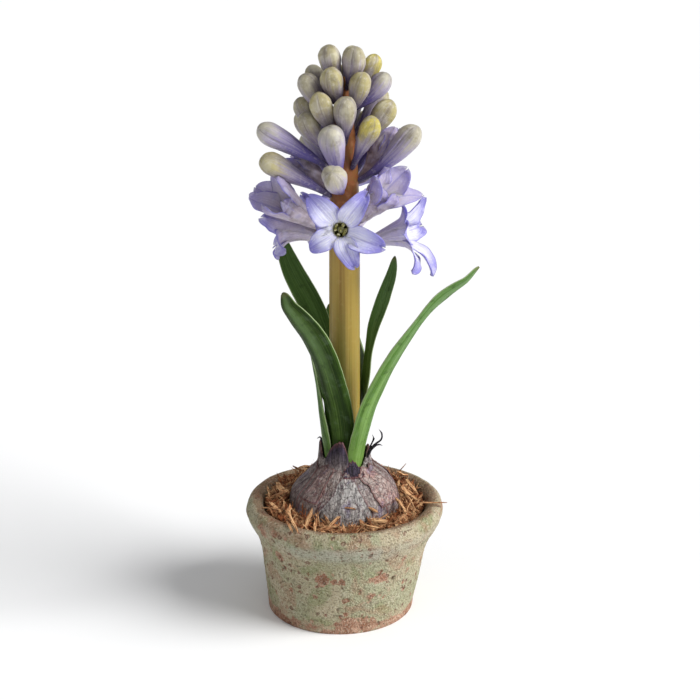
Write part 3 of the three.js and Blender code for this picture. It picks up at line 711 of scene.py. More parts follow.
def tunic(left, right, low, high, peak, hue_value, proud, peel, seed):
    """One torn sheet of dry skin, laid on the bulb."""
    mesh = blanks(1, SHEET_COLUMNS, SHEET_ROWS)
    fibre, hue, edge = skin_layers(mesh)
    for v in mesh.verts:
        across, up, out = v.co.x + 0.5, v.co.y + 0.5, v.co.z + 0.5
        tear = 3 * noise.fractal(Vector((up * 3, seed, 0)), 1, 2, 4)
        slit = 3 * noise.fractal(Vector((up * 3, seed, 9)), 1, 2, 4)
        azimuth = lerp(lerp(left[0], left[1], up) + tear, lerp(right[0], right[1], up) + slit, across)
        from_peak = (across - peak) / (1 - peak) if across > peak else (peak - across) / peak
        ripped = 1.4 * noise.fractal(Vector((across * 7, seed, 5)), 1, 2, 4) - 4.5 * from_peak**1.4
        height = lerp(low, high, up) + ripped * smoothstep(0.5, 1, up)
        width = abs(math.radians(lerp(right[0] - left[0], right[1] - left[1], up))) * SHEET_RADIUS
        from_edge = min(across * width, (1 - across) * width, (1 - up) * (high - low))
        if low > MULCH_TOP:
            from_edge = min(from_edge, up * (high - low))
        turn = math.radians(azimuth)
        skin = around(turn, bulb_radius(min(height, NECK_TOP - 0.1), azimuth), height)
        free = smoothstep(2.4, 0, from_edge) * (0.5 + 0.9 * noise.noise(skin / 5))
        standing = proud + 0.45 * (out - 0.5) + max(-0.1, peel * free) + crumple(skin)
        v.co = skin + around(turn, 1, 0.35) * (standing + 0.2)
        v[fibre] = around(turn, 1, height / FIBRE_RUN)
        silver, dark, blush = hue_value
        v[hue] = (silver + 0.25 * noise.noise(skin / 7), dark, blush + 0.3 * noise.noise(skin / 6))
        v[edge] = smoothstep(1.3, 0.1, from_edge)
    return facing_out(mesh)


def station(line, share):
    """The point at a share of an evenly spaced line, its heading, and the two directions across it."""
    place = share * (len(line) - 1)
    i = min(int(place), len(line) - 2)
    before = (line[i + 1] - line[max(i - 1, 0)]).normalized()
    after = (line[min(i + 2, len(line) - 1)] - line[i]).normalized()
    heading = before.lerp(after, place - i).normalized()
    sideways = Vector((-heading.y, heading.x, 0))
    sideways = sideways.normalized() if sideways.length > 1e-3 else Vector((1, 0, 0))
    return line[i].lerp(line[i + 1], place - i), heading, sideways, heading.cross(sideways)


def bent(mesh, line, length, swell):
    """Bends a turned body along a line. Its z runs from 0 to length; swell gives its size at each place."""
    for v in mesh.verts:
        share = min(1, max(0, v.co.z / length))
        point, _, sideways, up = station(line, share)
        size = swell(math.atan2(v.co.y, v.co.x), share)
        v.co = point + sideways * v.co.x * size + up * v.co.y * size
    return mesh


# Dry tips that have curled away from the neck: points, and thickness.
CURLED_TIPS = [
    ([(11.4, -1, 84), (12.6, -1, 90), (16.5, 0, 94.5), (20, 0, 97.5), (20.5, 0, 101), (18.6, 0, 104)], 1.3),
    ([(12.4, -3, 88), (15, -3, 93), (18.5, -2, 95.4), (21, -1.5, 94.6)], 0.9),
    ([(11.8, 1, 88), (14, 1, 93), (16, 2, 97), (15.2, 2, 100)], 0.8),
    ([(-11.4, 1, 84), (-12.2, 1, 94), (-13.2, 0, 99), (-15.4, -1, 98.4)], 1.0),
]


def curled_tip(points, thickness):
    """A dry tip: a flattened, withered strand along a line."""
    line = flowing(points, 60)
    length = sum((b - a).length for a, b in zip(line, line[1:]))
    shape = [
        (0, 0), (thickness, 0.4), (1.2 * thickness, 0.25 * length), (0.8 * thickness, 0.6 * length),
        (0.8 * thickness, 0.85 * length), (0, length),
    ]
    mesh = turned(smooth_side(shape, 40), 18)
    fibre, hue, _ = skin_layers(mesh)
    for v in mesh.verts:
        v[fibre] = (v.co.x / 3, v.co.y / 3, v.co.z / 12)
        v[hue] = (0, 1, 0)
        v.co.y *= 0.4

    def withered(turn, share):
        return 1 + 0.55 * noise.noise(around(turn, 2, share * 9))

    return bent(mesh, line, length, withered)


def creases(pattern):
    """Thin lines where a noise pattern crosses its middle value."""
    return ranged(maths("ABSOLUTE", minus(pattern, 0.5)), 0.0, 0.014, 0.75, 0.0)


def tunic_finish():
    finish, tree, shader = finish_named("papery tunic", 0.66, 0.3)
    place = object_place(tree)
    grain = laid_on(tree, "fibre")
    silver, dark, blush = parts(laid_on(tree, "hue"))
    edge = laid_on(tree, "edge", "Fac")
    streaks = streaked(grain, (15, 15, 4.4), 7, 1.5)
    lines = streaked(grain, (5, 5, 1.4), 4, 1.8)
    slant = streaked(place, (75, 75, 22), 3, 0.8, (0.3, 0.7, 0))
    clouds = mottle(place, 120, 6, 0.6)
    fleck = mottle(place, 700, 5)
    warp = node("TexNoise", {"Vector": place, "Scale": 160.0, "Detail": 3.0}).outputs[1]
    warped = node("VectorMath", {0: warp, 1: (0.006, 0.006, 0.006), 2: place}, operation="MULTIPLY_ADD")
    cells = {"Vector": stretched(warped.outputs[0], (1, 1, 1.25)), "Scale": 230.0}
    from_crack = node("TexVoronoi", cells, feature="DISTANCE_TO_EDGE").outputs[0]
    cracked = ranged(from_crack, 0.0, 0.06, 1.0, 0.0)
    brown = two_tone(streaks, 0.36, 0.64, "64534c", "9f9088")
    grey = two_tone(streaks, 0.36, 0.64, "716d6b", "b0aca8")
    pink = times(blush, ranged(clouds, 0.4, 0.6, 0.35, 1.0))
    paper = mixed(times(pink, 0.75), mixed(silver, brown, grey), colour("a5837a"))
    paper = painted(paper, [(clouds, 0.55, 0.7, 0.5, "6f6788"), (clouds, 0.42, 0.3, 0.5, "75584c")])
    paper = mixed(creases(lines), paper, colour("552830"))
    paper = mixed(times(cracked, 0.36), paper, colour("3a3038"))
    paper = mixed(creases(slant), paper, colour("3f2835"))
    paper = painted(paper, [(fleck, 0.53, 0.68, 0.4, "c4bfbc"), (fleck, 0.45, 0.33, 0.45, "332b2e")])
    paper = mixed(dark, paper, two_tone(streaks, 0.4, 0.62, "18121c", "3e3347"))
    rim = two_tone(edge, 0.6, 0.9, "42222a", "80534e")
    paper = mixed(ranged(edge, 0.05, 0.4, 0.0, 0.6), paper, rim)
    relief = plus(times(streaks, 0.8), times(fleck, 0.3))
    dressed(shader, paper, minus(relief, times(cracked, 0.4)), 0.0009)
    return finish


bulb = bulb_flesh()
for number, skin_sheet in enumerate(TUNICS):
    pour(bulb, tunic(*skin_sheet, number * 3.7))
for tip_points, tip_thickness in CURLED_TIPS:
    pour(bulb, curled_tip(tip_points, tip_thickness))
set_down("bulb_tunics", bulb, "bulb", tunic_finish())

# ---- Scape ---------------------------------------------------------------------------------------
# The flower stalk grows up out of the neck between the leaves: thick, juicy and smooth, amber with
# lengthwise streaks, and browner and thinner where the florets and buds spring from it.

SCAPE_FOOT = 80.35
SCAPE_END = 297
SCAPE_RINGS = 170
SCAPE_STEPS = 80
SCAPE_LINE = [
    (7.5, SCAPE_FOOT), (7.7, 96), (8.3, 112), (8.25, 160), (8.1, 215), (7.2, 245), (5.6, 268), (3.6, 286),
    (2, 295), (1.2, 296.6),
]


def scape_stalk():
    mesh = turned([(0, SCAPE_FOOT), *smooth_side(SCAPE_LINE, SCAPE_RINGS), (0, SCAPE_END)], SCAPE_STEPS)
    fibre = mesh.verts.layers.float_vector.new("fibre")
    for v in mesh.verts:
        turn = math.atan2(v.co.y, v.co.x)
        height = v.co.z
        v[fibre] = around(turn, 1, height)
        ribs = 0.008 * math.cos(9 * turn + 0.4 * math.sin(height / 40)) + 0.006 * math.cos(5 * turn + 1)
        knobs = 0.06 * smoothstep(205, 225, height) * noise.noise(around(turn, 2, height / 9))
        v.co.x *= 1 + ribs + knobs
        v.co.y *= 1 + ribs + knobs
    return mesh


def lit_through(shader, weight, radius=(1.0, 0.2, 0.1)):
    """Juicy flesh, which light enters a little way."""
    shader.inputs["Subsurface Weight"].default_value = weight
    shader.inputs["Subsurface Radius"].default_value = radius
    shader.inputs["Subsurface Scale"].default_value = 0.002


def stalk_finish():
    finish, tree, shader = finish_named("juicy stalk", 0.42, 0.32)
    grain = laid_on(tree, "fibre")
    height = parts(grain)[2]
    broad = streaked(grain, (1.7, 1.7, 0.004), 3)
    fine = streaked(grain, (16, 16, 0.02), 4)
    specks = mottle(object_place(tree), 350, 5)
    amber = two_tone(broad, 0.35, 0.62, "86652a", "b09443")
    amber = painted(amber, [(fine, 0.35, 0.65, 0.3, "a8944e"), (fine, 0.45, 0.3, 0.2, "7c5e28")])
    green = times(ranged(height, 200, 110), ranged(broad, 0.62, 0.4, 0.15, 0.9))
    amber = mixed(green, amber, colour("7d8440"))
    rust = times(ranged(height, 190, 240), ranged(specks, 0.3, 0.6, 0.7, 1.0))
    amber = mixed(rust, amber, two_tone(specks, 0.38, 0.64, "753c20", "8f5732"))
    amber = painted(amber, [(specks, 0.56, 0.7, 0.1, "c8b074")])
    lit_through(shader, 0.12)
    dressed(shader, amber, plus(fine, times(specks, 0.2)), 0.0002)
    return finish


set_down("scape_stalk", scape_stalk(), "scape", stalk_finish())

# ---- Leaves --------------------------------------------------------------------------------------
# Seven strap leaves, thick and waxy, stand in the neck in two rings round the scape. Each is channelled
# along its middle and ends in a blunt hood; its veins run lengthwise and its edges are thin and pale.

LEAF_FOOT = 80.35
INNER_RING = 9
OUTER_RING = 10.5
LEAF_COLUMNS = 20
LEAF_ROWS = 110

# Ring, azimuth, half width at the foot and above, channel's radius, twist in degrees, waist, how
# sunlit its green is, and the points of its middle line above the foot.
LEAVES = {
    "leaf_front_right": (OUTER_RING, -50, 6.5, 6.8, 12, 30, 0.7, 0.85, [
        (7, -8.2, 90), (10, -12.4, 106), (13.8, -15.6, 121), (20, -18, 136.5), (26, -20, 149),
        (32, -21, 159.5), (39.4, -20.6, 171), (47.6, -19.6, 180.4), (55.6, -18.2, 187), (64, -17, 193),
        (71.4, -15.5, 199),
    ]),
    "leaf_front_left": (INNER_RING, -106, 6.4, 8.6, 12, -18, 0, 0.0, [
        (-2.5, -8.9, 90), (-2.2, -10.8, 102), (-4, -13.6, 119), (-7.4, -16.8, 135), (-12, -20, 151),
        (-16.8, -22.4, 162), (-24, -25, 173.5), (-29.4, -26, 181.5), (-32.6, -25.6, 188.5),
    ]),
    "leaf_back_left": (INNER_RING, 156, 6.2, 6.8, 14, -62, 0, 0.2, [
        (-8.4, 3.8, 90), (-8.8, 4.6, 106), (-9.6, 7, 130), (-11.8, 9.6, 152), (-14.8, 11, 163),
        (-20, 12.2, 174.5), (-26.4, 13, 187), (-31.2, 14.6, 198), (-34.2, 16, 209.5),
    ]),
    "leaf_left": (OUTER_RING, -156, 4.2, 6, 9, -44, 0, 0.45, [
        (-9.8, -4.2, 90), (-11.4, -5.1, 101), (-13.4, -5.7, 116), (-14.9, -5.9, 132), (-16.4, -5.8, 144),
        (-18.8, -5.2, 155),
    ]),
    "leaf_right": (INNER_RING, 6, 5, 4, 12, 78, 0.56, 0.65, [
        (9.1, 1, 90), (9.7, 1.6, 106), (11, 2, 122), (12.2, 2.6, 136), (13.4, 3.6, 148), (15.6, 4.6, 159.5),
        (19, 6, 170.5), (22.8, 7, 182), (25.6, 7.6, 191), (27.2, 8, 200),
    ]),
    "leaf_back_right": (OUTER_RING, 52, 5, 6, 14, -30, 0, 0.4, [
        (6.4, 8.6, 90), (8.4, 10.6, 106), (10, 13, 124), (9.6, 14.6, 138), (7.4, 16, 150), (4.4, 17, 160),
        (2, 17.6, 169),
    ]),
    "leaf_back": (OUTER_RING, 108, 4.2, 5, 14, 10, 0, 0.4, [
        (-3.3, 10.3, 90), (-4.2, 12, 106), (-5, 14.6, 124), (-6, 16.6, 142), (-7.6, 18, 156), (-9, 19, 170),
    ]),
}


def leaf_blade(ring, azimuth, foot_half, half, channel, twist, waist, sunlit, route):
    """A strap bent round the scape at its foot, which opens into a channel and follows its middle line."""
    turn = math.radians(azimuth)
    line = flowing([around(turn, ring, LEAF_FOOT), *route], LEAF_ROWS)
    towards_scape = around(turn, -1)
    mesh = blanks(1, LEAF_COLUMNS, LEAF_ROWS)
    fibre = mesh.verts.layers.float_vector.new("fibre")
    light = mesh.verts.layers.float.new("sunlit")
    for v in mesh.verts:
        across, share, inwards = 2 * v.co.x, v.co.y + 0.5, v.co.z
        point, along, _, _ = station(line, share)
        face = (towards_scape - along * towards_scape.dot(along)).normalized()
        face.rotate(Matrix.Rotation(math.radians(twist) * smoothstep(0.1, 1, share), 3, along))
        body = lerp(foot_half, half, smoothstep(0, 0.35, share))
        fold = 1 - 0.3 * math.exp(-(((share - waist) / 0.1) ** 2)) if waist else 1
        tip = math.sqrt(max(0, 1 - max(0, (share - 0.7) / 0.3) ** 2))
        nibbled = 1 + 0.03 * noise.noise(Vector((share * 22, azimuth, math.copysign(3, across))))
        width = max(0.35, body * fold * tip) * nibbled
        bend = lerp(ring, channel, smoothstep(0.08, 0.35, share))
        roll = across * width / bend
        thickness = lerp(1.15, 0.9, share) * (1 - 0.5 * across**4)
        hood = 1.6 * smoothstep(0.92, 1, share)
        wave = noise.noise(Vector((share * 8, azimuth, across)))
        ripple = (0.5 * wave * abs(across) + 0.12 * math.cos(across * 19)) * smoothstep(0.1, 0.4, share)
        radius = bend - inwards * thickness - ripple
        inside = bend - radius * math.cos(roll) + hood
        v.co = point + along.cross(face) * radius * math.sin(roll) + face * inside
        v[fibre] = (across, 1.0 if inwards > 0 else -1.0, share)
        v[light] = sunlit
    return facing_out(mesh)


def leaf_finish():
    finish, tree, shader = finish_named("waxy leaf", 0.46, 0.12)
    grain = laid_on(tree, "fibre")
    across, inner, share = parts(grain)
    from_middle = maths("ABSOLUTE", across)
    outer = ranged(inner, -0.5, 0.5, 1.0, 0.0)
    light = laid_on(tree, "sunlit", "Fac")
    veins = streaked(grain, (17, 3, 1.6), 5)
    bands = streaked(grain, (2.6, 3, 2.0), 4, 0.5)
    bloom = mottle(object_place(tree), 220, 7)
    # Lit and shaded copies of the green: painted light and painted shade, mixed by each leaf's sunlit
    # value.
    shaded = two_tone(bands, 0.36, 0.64, "182c02", "354f14")
    sunlit = two_tone(bands, 0.36, 0.64, "557f2f", "7da257")
    green = painted(mixed(light, shaded, sunlit), [
        (inner, -0.5, 0.5, 0.6, "3d5a1e"),
        (veins, 0.5, 0.7, 0.2, "8aa45c"),
        (veins, 0.48, 0.32, 0.65, "1b3010"),
    ])
    # A painted sheen: a pale green band along the middle of each leaf's outer face, on its upper half.
    painted_sheen = times(ranged(from_middle, 0.6, 0.0, 0.0, 0.4), ranged(share, 0.35, 0.75))
    green = mixed(times(painted_sheen, outer), green, colour("86a86a"))
    frost = times(ranged(bloom, 0.5, 0.66, 0.0, 0.08), outer)
    green = mixed(frost, green, colour("8ba28a"))
    # A painted sheen on sunlit leaves: their upper half turns greyer green as far as each leaf is sunlit.
    painted_sunlit_sheen = times(ranged(share, 0.3, 0.8, 0.0, 0.45), ranged(bands, 0.35, 0.6, 0.5, 1.0))
    green = painted(mixed(times(painted_sunlit_sheen, light), green, colour("5f7f5c")), [
        (bloom, 0.44, 0.32, 0.36, "1f3311"),
        (from_middle, 0.93, 0.99, 0.7, "aebf8e"),
        (share, 0.18, 0.0, 0.5, "84a552"),
        (share, 0.965, 1.0, 0.7, "7d7c52"),
    ])
    dressed(shader, green, plus(veins, times(bloom, 0.5)), 0.0004)
    return finish


waxy_leaf = leaf_finish()
for leaf_name, leaf in LEAVES.items():
    set_down(leaf_name + "_blade", leaf_blade(*leaf), leaf_name, waxy_leaf)

# ---- Buds ----------------------------------------------------------------------------------------
# Closed buds make the dome, and longer ones stand below it, each on a tapering neck that grows out of
# the scape. Three outer petals close over three inner ones, so fine seams run down from the tip.

BUD_ROWS = 60
BUD_STEPS = 60
BUD_STATIONS = 90
TIP_LENGTH = 0.67  # from the widest place to the tip, in widths

# Each bud: the azimuth, distance and height of its widest place, its root's height, its rise in
# degrees, its width, then how yellow its tip is, how violet its body, and the turn of its seams.
BUDS = [
    ((-134, 10.4, 306.8), 293, 80, 11.4, 0.3, 0.25, 20), ((-58, 10.2, 305.6), 291, 84, 12, 0.25, 0.35, 75),
    ((8, 14.6, 302), 287, 72, 9.6, 1.0, 0.1, 0), ((70, 11.5, 304), 289, 76, 11, 0.3, 0.3, 40),
    ((128, 12, 302.5), 288, 74, 10.6, 0.4, 0.3, 10), ((-112, 16.2, 296.6), 282, 70, 11.6, 0.45, 0.25, 35),
    ((-59, 16.4, 294.3), 278, 72, 11.2, 0.45, 0.2, 95), ((-8, 19, 293), 280, 60, 10.6, 0.1, 0.8, 60),
    ((50, 18, 293.5), 276, 66, 11, 0.4, 0.4, 15), ((104, 17.4, 294), 276, 66, 11.2, 0.5, 0.3, 80),
    ((170, 15.2, 296), 283, 68, 10.4, 0.1, 0.3, 50), ((-156, 19.7, 292.8), 275, 66, 11.2, 0.1, 0.35, 25),
    ((-123, 21.4, 284.7), 266, 64, 11.6, 0.4, 0.15, 0), ((-88, 20.4, 282.6), 263, 66, 12, 0.15, 0.35, 70),
    ((-9, 20.6, 278.6), 260, 58, 12, 0.45, 0.1, 105), ((36, 21.6, 282), 266, 60, 11.2, 0.4, 0.4, 30),
    ((78, 21, 281), 262, 58, 11.4, 0.5, 0.3, 65), ((126, 21, 281), 262, 60, 11.4, 0.3, 0.4, 5),
    ((174, 20.4, 279.4), 262, 60, 10.8, 0.3, 0.4, 90), ((-148, 21, 273.8), 255, 60, 11.2, 0.15, 0.3, 110),
    ((-53, 21.3, 273), 250, 56, 11, 1.0, 0.25, 50), ((66, 24.6, 268.5), 248, 46, 11.4, 0.5, 0.5, 20),
    ((108, 24, 269), 249, 48, 11.4, 0.4, 0.6, 55), ((147, 24.4, 270), 252, 50, 11.2, 0.5, 0.5, 85),
]
LONG_BUDS = [
    ((-105, 22.8, 267.5), 243, 60, 13.8, 0.0, 0.85, 45), ((-165, 38.6, 269), 249, 30, 12.2, 0.05, 1.0, 80),
    ((-158, 39, 253.8), 235, 28, 12, 0.6, 0.6, 15), ((-98, 36, 251.2), 238, 36, 12.8, 0.3, 0.85, 100),
    ((-8, 33.8, 265), 243, 58, 12.8, 0.2, 0.75, 30), ((62, 35, 260), 241, 30, 12.2, 0.4, 0.8, 65),
    ((120, 35, 256), 238, 28, 12.2, 0.3, 0.9, 0),
]


def flower_line(place, root_height, rise):
    """Where a bud or floret leaves the scape, how its neck bends, its head, and the way it faces."""
    azimuth, distance, height = place
    outward = around(math.radians(azimuth))
    root = outward * (radius_at(SCAPE_LINE, root_height) - 0.1) + Vector((0, 0, root_height))
    head = outward * distance + Vector((0, 0, height))
    aim = outward * math.cos(math.radians(rise)) + Vector((0, 0, math.sin(math.radians(rise))))
    return root, head - aim * 0.5 * (head - root).length, head, aim


def bud_body(place, root_height, rise, width, yellow, violet, phase):
    """A bud with its neck: turned, then bent along its line, with a keel on each petal."""
    root, bend, head, aim = flower_line(place, root_height, rise)
    tip = head + aim * TIP_LENGTH * width
    curve = interpolate_bezier(root, root.lerp(bend, 0.6), head.lerp(bend, 0.3), tip, BUD_STATIONS)
    line = evenly_spaced(curve, BUD_STATIONS)
    length = sum((b - a).length for a, b in zip(line, line[1:]))
    widest = length - TIP_LENGTH * width
    shape = [
        (0, 0), (1.25, 0.1), (0.19 * width, 0.3 * widest), (0.34 * width, 0.58 * widest),
        (0.46 * width, 0.84 * widest), (0.5 * width, widest), (0.465 * width, lerp(widest, length, 0.42)),
        (0.315 * width, lerp(widest, length, 0.8)), (0.12 * width, lerp(widest, length, 0.97)), (0, length),
    ]
    mesh = turned(smooth_side(shape, BUD_ROWS), BUD_STEPS)
    fibre = mesh.verts.layers.float_vector.new("fibre")
    hue = mesh.verts.layers.float_vector.new("hue")
    seed = Vector((place[0], place[2], width))

    def seam(turn, share):
        """How near a place is to a seam, from 0 on an outer petal's middle to 1."""
        wander = 7 * noise.noise(seed + Vector((share * 3, 0, 0)))
        return abs((math.degrees(turn) + phase + wander + 60) % 120 - 60) / 60

    for v in mesh.verts:
        turn = math.atan2(v.co.y, v.co.x)
        share = v.co.z / length
        v[fibre] = (math.cos(turn) + place[0], math.sin(turn), share)
        v[hue] = (yellow, violet, seam(turn, share) * smoothstep(0.4, 0.7, share))

    def petals(turn, share):
        near = seam(turn, share)
        closed = smoothstep(0.25, 0.65, share)
        keel = 0.055 * math.cos(near * math.pi) + 0.03 * math.exp(-((near / 0.09) ** 2))
        groove = 0.065 * smoothstep(0.88, 1, near)
        inner_keel = 0.018 * math.cos(6 * turn + phase)
        dents = 0.05 * noise.noise(seed + around(turn, 1.5, share * 5))
        return 0.985 + closed * (keel + inner_keel - groove) + dents

    return bent(mesh, line, length, petals)


def bud_finish():
    finish, tree, shader = finish_named("waxy bud", 0.34, 0.5)
    grain = laid_on(tree, "fibre")
    share = parts(grain)[2]
    yellow, violet, seam = parts(laid_on(tree, "hue"))
    place = object_place(tree)
    streaks = streaked(grain, (4, 4, 1.6), 5, 0.4)
    veins = streaked(grain, (16, 16, 2.2), 4)
    clouds = mottle(place, 170, 5)
    bloom = mottle(place, 600, 4)
    wavy = plus(share, ranged(streaks, 0.25, 0.75, -0.12, 0.12))
    wavy = minus(minus(wavy, times(violet, 0.17)), times(seam, 0.07))
    tip = mixed(yellow, colour("988f75"), colour("bcae4a"))
    unripe = minus(0.75, times(yellow, 0.7))
    tip = mixed(times(violet, unripe), tip, colour("c3c0b6"))
    tip = painted(tip, [(clouds, 0.5, 0.62, 0.6, "c6c0a6"), (clouds, 0.46, 0.34, 0.5, "7d7350")])
    body = mixed(violet, colour("8d837c"), colour("aea3cb"))
    body = painted(body, [(clouds, 0.48, 0.64, 0.5, "b2a8bd")])
    # The lower part: the bud's own violet, made darker as painted shade in the gaps between the buds.
    base_and_shade = mixed(violet, colour("54486c"), colour("7569b4"))
    skin = mixed(ranged(wavy, 0.2, 0.5), base_and_shade, body)
    # Below a third of its length the neck is painted darker still: painted shade between the buds.
    skin = painted(mixed(ranged(wavy, 0.46, 0.78), skin, tip), [(share, 0.34, 0.1, 0.7, "372b45")])
    sides = times(ranged(seam, 0.3, 0.9, 0.0, 0.3), ranged(streaks, 0.35, 0.6))
    skin = painted(mixed(sides, skin, colour("857da0")), [
        (veins, 0.5, 0.75, 0.3, "d6d0c4"),
        (veins, 0.48, 0.28, 0.28, "6a5f66"),
        (bloom, 0.55, 0.7, 0.3, "d8d4cc"),
        (seam, 0.92, 1.0, 0.45, "5a4e45"),
    ])
    lit_through(shader, 0.1, (0.8, 0.6, 0.7))
    dressed(shader, skin, plus(veins, times(bloom, 0.5)), 0.0004)
    return finish


waxy_bud = bud_finish()
for number, bud in enumerate(BUDS, 1):
    set_down(f"bud_{number:02}_closed", bud_body(*bud), f"bud_{number:02}", waxy_bud)
for number, bud in enumerate(LONG_BUDS, 1):
    set_down(f"long_bud_{number}_closed", bud_body(*bud), f"long_bud_{number}", waxy_bud)

# ---- Florets -------------------------------------------------------------------------------------
# The open florets: a fleshy tube that splits into six broad petals, which arch back. They are pale lilac
# with blue-violet edges and tips, and greyer outside. Six anthers stand in an olive throat.

MOUTH_RADIUS = 5.3
TUBE_WALL = 0.8
PETAL_THICKNESS = 0.8
PETAL_HALF_WIDTH = 6.1
WHORL_STEP = 1.3
PETAL_COLUMNS = 16
TUBE_ROWS = 18
TUBE_STATIONS = 80
LOBE_ROWS = 34
TIP_CURL = 0.45  # how much further a petal's tip arches back, as a share of its whole arch
LAP = math.radians(2)  # how far each petal goes under the next one in the tube's wall
TUBE_RADII = [(1.3, 0), (2.1, 0.12), (3, 0.3), (3.7, 0.6), (4.4, 0.82), (5.3, 1.0)]  # radius, share


def six_petals(turn, start, end, length):
    """Six petals alike, the first at a clock angle."""
    return [(at + turn, start, end, length) for at in range(0, 360, 60)]


# Each floret: the azimuth, distance and height of its mouth, its root's height, its rise, how grey and
# how full its petals are, how wide its bell is, and the petals: clock angle, the angles from the
# floret's axis that it starts and ends at, and its length.
FLORETS = [
    ((-94, 28, 223), 214, 12, 0.0, 1.2, 0.92, [
        (-42, 33, 88, 22.5), (34, 31, 120, 18.2), (115, 42, 118, 20.5), (162, 44, 128, 15.5),
        (238, 56, 118, 14.5), (283, 82, 172, 8.5),
    ]),
    ((-8, 30.5, 215.5), 206, 14, 0.12, 1.35, 1.4, [
        (330, 24, 96, 12), (40, 22, 62, 17.5), (100, 24, 90, 14), (178, 26, 98, 22), (218, 26, 126, 20),
        (276, 24, 112, 10),
    ]),
    ((-26, 17.5, 232), 221, 50, 0.75, 1.4, 1.15, [
        (304, 10, 36, 17.5), (14, 10, 28, 18), (80, 10, 44, 22), (128, 16, 74, 21), (190, 12, 24, 13),
        (250, 8, 18, 12),
    ]),
    ((-157, 29, 230), 217, 36, 0.8, 1.35, 1.25, [
        (26, 10, 20, 20), (96, 14, 44, 10), (168, 12, 18, 17), (228, 14, 30, 21), (262, 16, 44, 20),
        (318, 14, 60, 16),
    ]),
    ((176, 29, 215.5), 207, 4, 0.5, 1.25, 1.2, [
        (48, 24, 50, 16), (112, 24, 138, 12), (170, 24, 100, 12), (232, 24, 90, 13), (292, 24, 60, 15),
        (350, 24, 60, 14),
    ]),
    ((26, 19, 252), 241, 54, 1.0, 1.2, 1.1, [
        (300, 8, 12, 19.5), (0, 8, 30, 18), (60, 8, 34, 18), (118, 8, 24, 21), (176, 8, 30, 21.5),
        (234, 8, 30, 23),
    ]),
    ((170, 17, 245), 236, 30, 1.0, 1.1, 1.1, six_petals(30, 10, 40, 17)),
    ((68, 26, 219), 209, 22, 0.4, 1.0, 0.9, six_petals(10, 12, 44, 12)),
    ((112, 27, 215), 207, 4, 0.25, 1.0, 1.0, six_petals(40, 26, 84, 15)),
    ((90, 27, 237), 228, 25, 0.3, 1.05, 1.0, six_petals(10, 26, 96, 17)),
]

tube_profile = smooth_side(TUBE_RADII, 60)


def lobe_line(start, end, length):
    """A petal's middle line beyond the mouth: distance out, distance forward, and angle at each row."""
    out, forward = 0.0, 0.0
    rows = []
    for row in range(LOBE_ROWS + 1):
        share = row / LOBE_ROWS
        curl = TIP_CURL * (end - start) * smoothstep(0.7, 1, share)
        angle = math.radians(lerp(lerp(14, start, smoothstep(0, 0.12, share)), end, share) + curl)
        rows.append((out, forward, angle))
        out += math.sin(angle) * length / LOBE_ROWS
        forward += math.cos(angle) * length / LOBE_ROWS
    return rows


def petal(line, head, aim, clock, clockwise, counter, start, end, length, step, full_width, bell, draw):
    """One petal with its share of the tube: it runs up the tube, and arches back from the mouth."""
    mesh = blanks(1, PETAL_COLUMNS, TUBE_ROWS + LOBE_ROWS)
    fibre = mesh.verts.layers.float_vector.new("fibre")
    lobe = lobe_line(start, end, length)
    mouth = MOUTH_RADIUS * bell
    turn = math.radians(clock)
    right = Vector((0, 0, 1)).cross(aim).normalized()
    outward = aim.cross(right) * math.cos(turn) + right * math.sin(turn)
    sideways = outward.cross(aim)
    wave, phase = draw.uniform(0.5, 1.2), draw.uniform(0, 6.3)
    twist = math.radians(draw.uniform(-20, 20))
    cup = draw.uniform(0.9, 2.7)
    blunt = draw.uniform(3.2, 5.6)
    veer = draw.uniform(-1.8, 1.8)
    half_width = PETAL_HALF_WIDTH * full_width * draw.uniform(0.9, 1.06) * min(1, 0.6 + length / 50)
    for v in mesh.verts:
        across, inwards = 2 * v.co.x, v.co.z
        round_mouth = math.radians(across * (clockwise if across > 0 else counter) / 2) + LAP * across
        row = round((v.co.y + 0.5) * (TUBE_ROWS + LOBE_ROWS))
        if row < TUBE_ROWS:
            share = row / TUBE_ROWS
            point, _, tube_right, tube_up = station(line, share)
            angle = turn + round_mouth
            ribbed = 0.1 * math.cos(across * math.pi) * smoothstep(0.1, 0.6, share)
            flare = lerp(1, bell, smoothstep(0.2, 1, share))
            radius = radius_at(tube_profile, share) * flare + ribbed - (0.5 + inwards) * TUBE_WALL
            v.co = point + (tube_up * math.cos(angle) + tube_right * math.sin(angle)) * radius
            v[fibre] = (across, math.copysign(1, inwards), share)
            continue
        out, forward, angle = lobe[row - TUBE_ROWS]
        share = (row - TUBE_ROWS) / LOBE_ROWS
        across_mouth = mouth * math.sin(round_mouth)
        spread = lerp(across_mouth, across * half_width, smoothstep(0, 0.4, share))
        spread *= max(0.05, max(0, 1 - share**blunt) ** 0.66)
        opening = smoothstep(0.04, 0.45, share)
        curve = mouth * (1 - math.cos(round_mouth)) * (1 - smoothstep(0, 0.4, share))
        frill = math.sin(7 * share + phase + (1.2 if across > 0 else 0))
        frill += 0.4 * math.sin(17 * share + 2 * phase)
        lift = cup * across**2 * opening + wave * abs(across) ** 2.5 * frill * opening
        lift += step * smoothstep(0, 0.3, share) + 1.3 * smoothstep(0.8, 1, share)
        lift -= 0.45 * math.exp(-((across / 0.13) ** 2)) * opening * (1 - 0.5 * share)
        lift += 0.12 * math.cos(across * 16) * opening * (1 - share)
        lift += (inwards - 0.1) * PETAL_THICKNESS * (1 - 0.6 * across**4)
        lean = twist * share * share
        x = spread * math.cos(lean) + veer * share * share
        lift += spread * math.sin(lean)
        y = mouth - 0.5 * TUBE_WALL + out - lift * math.cos(angle) - curve
        v.co = head + sideways * x + outward * y + aim * (forward + lift * math.sin(angle))
        v[fibre] = (across, math.copysign(1, inwards), 1 + share)
    return facing_out(mesh)


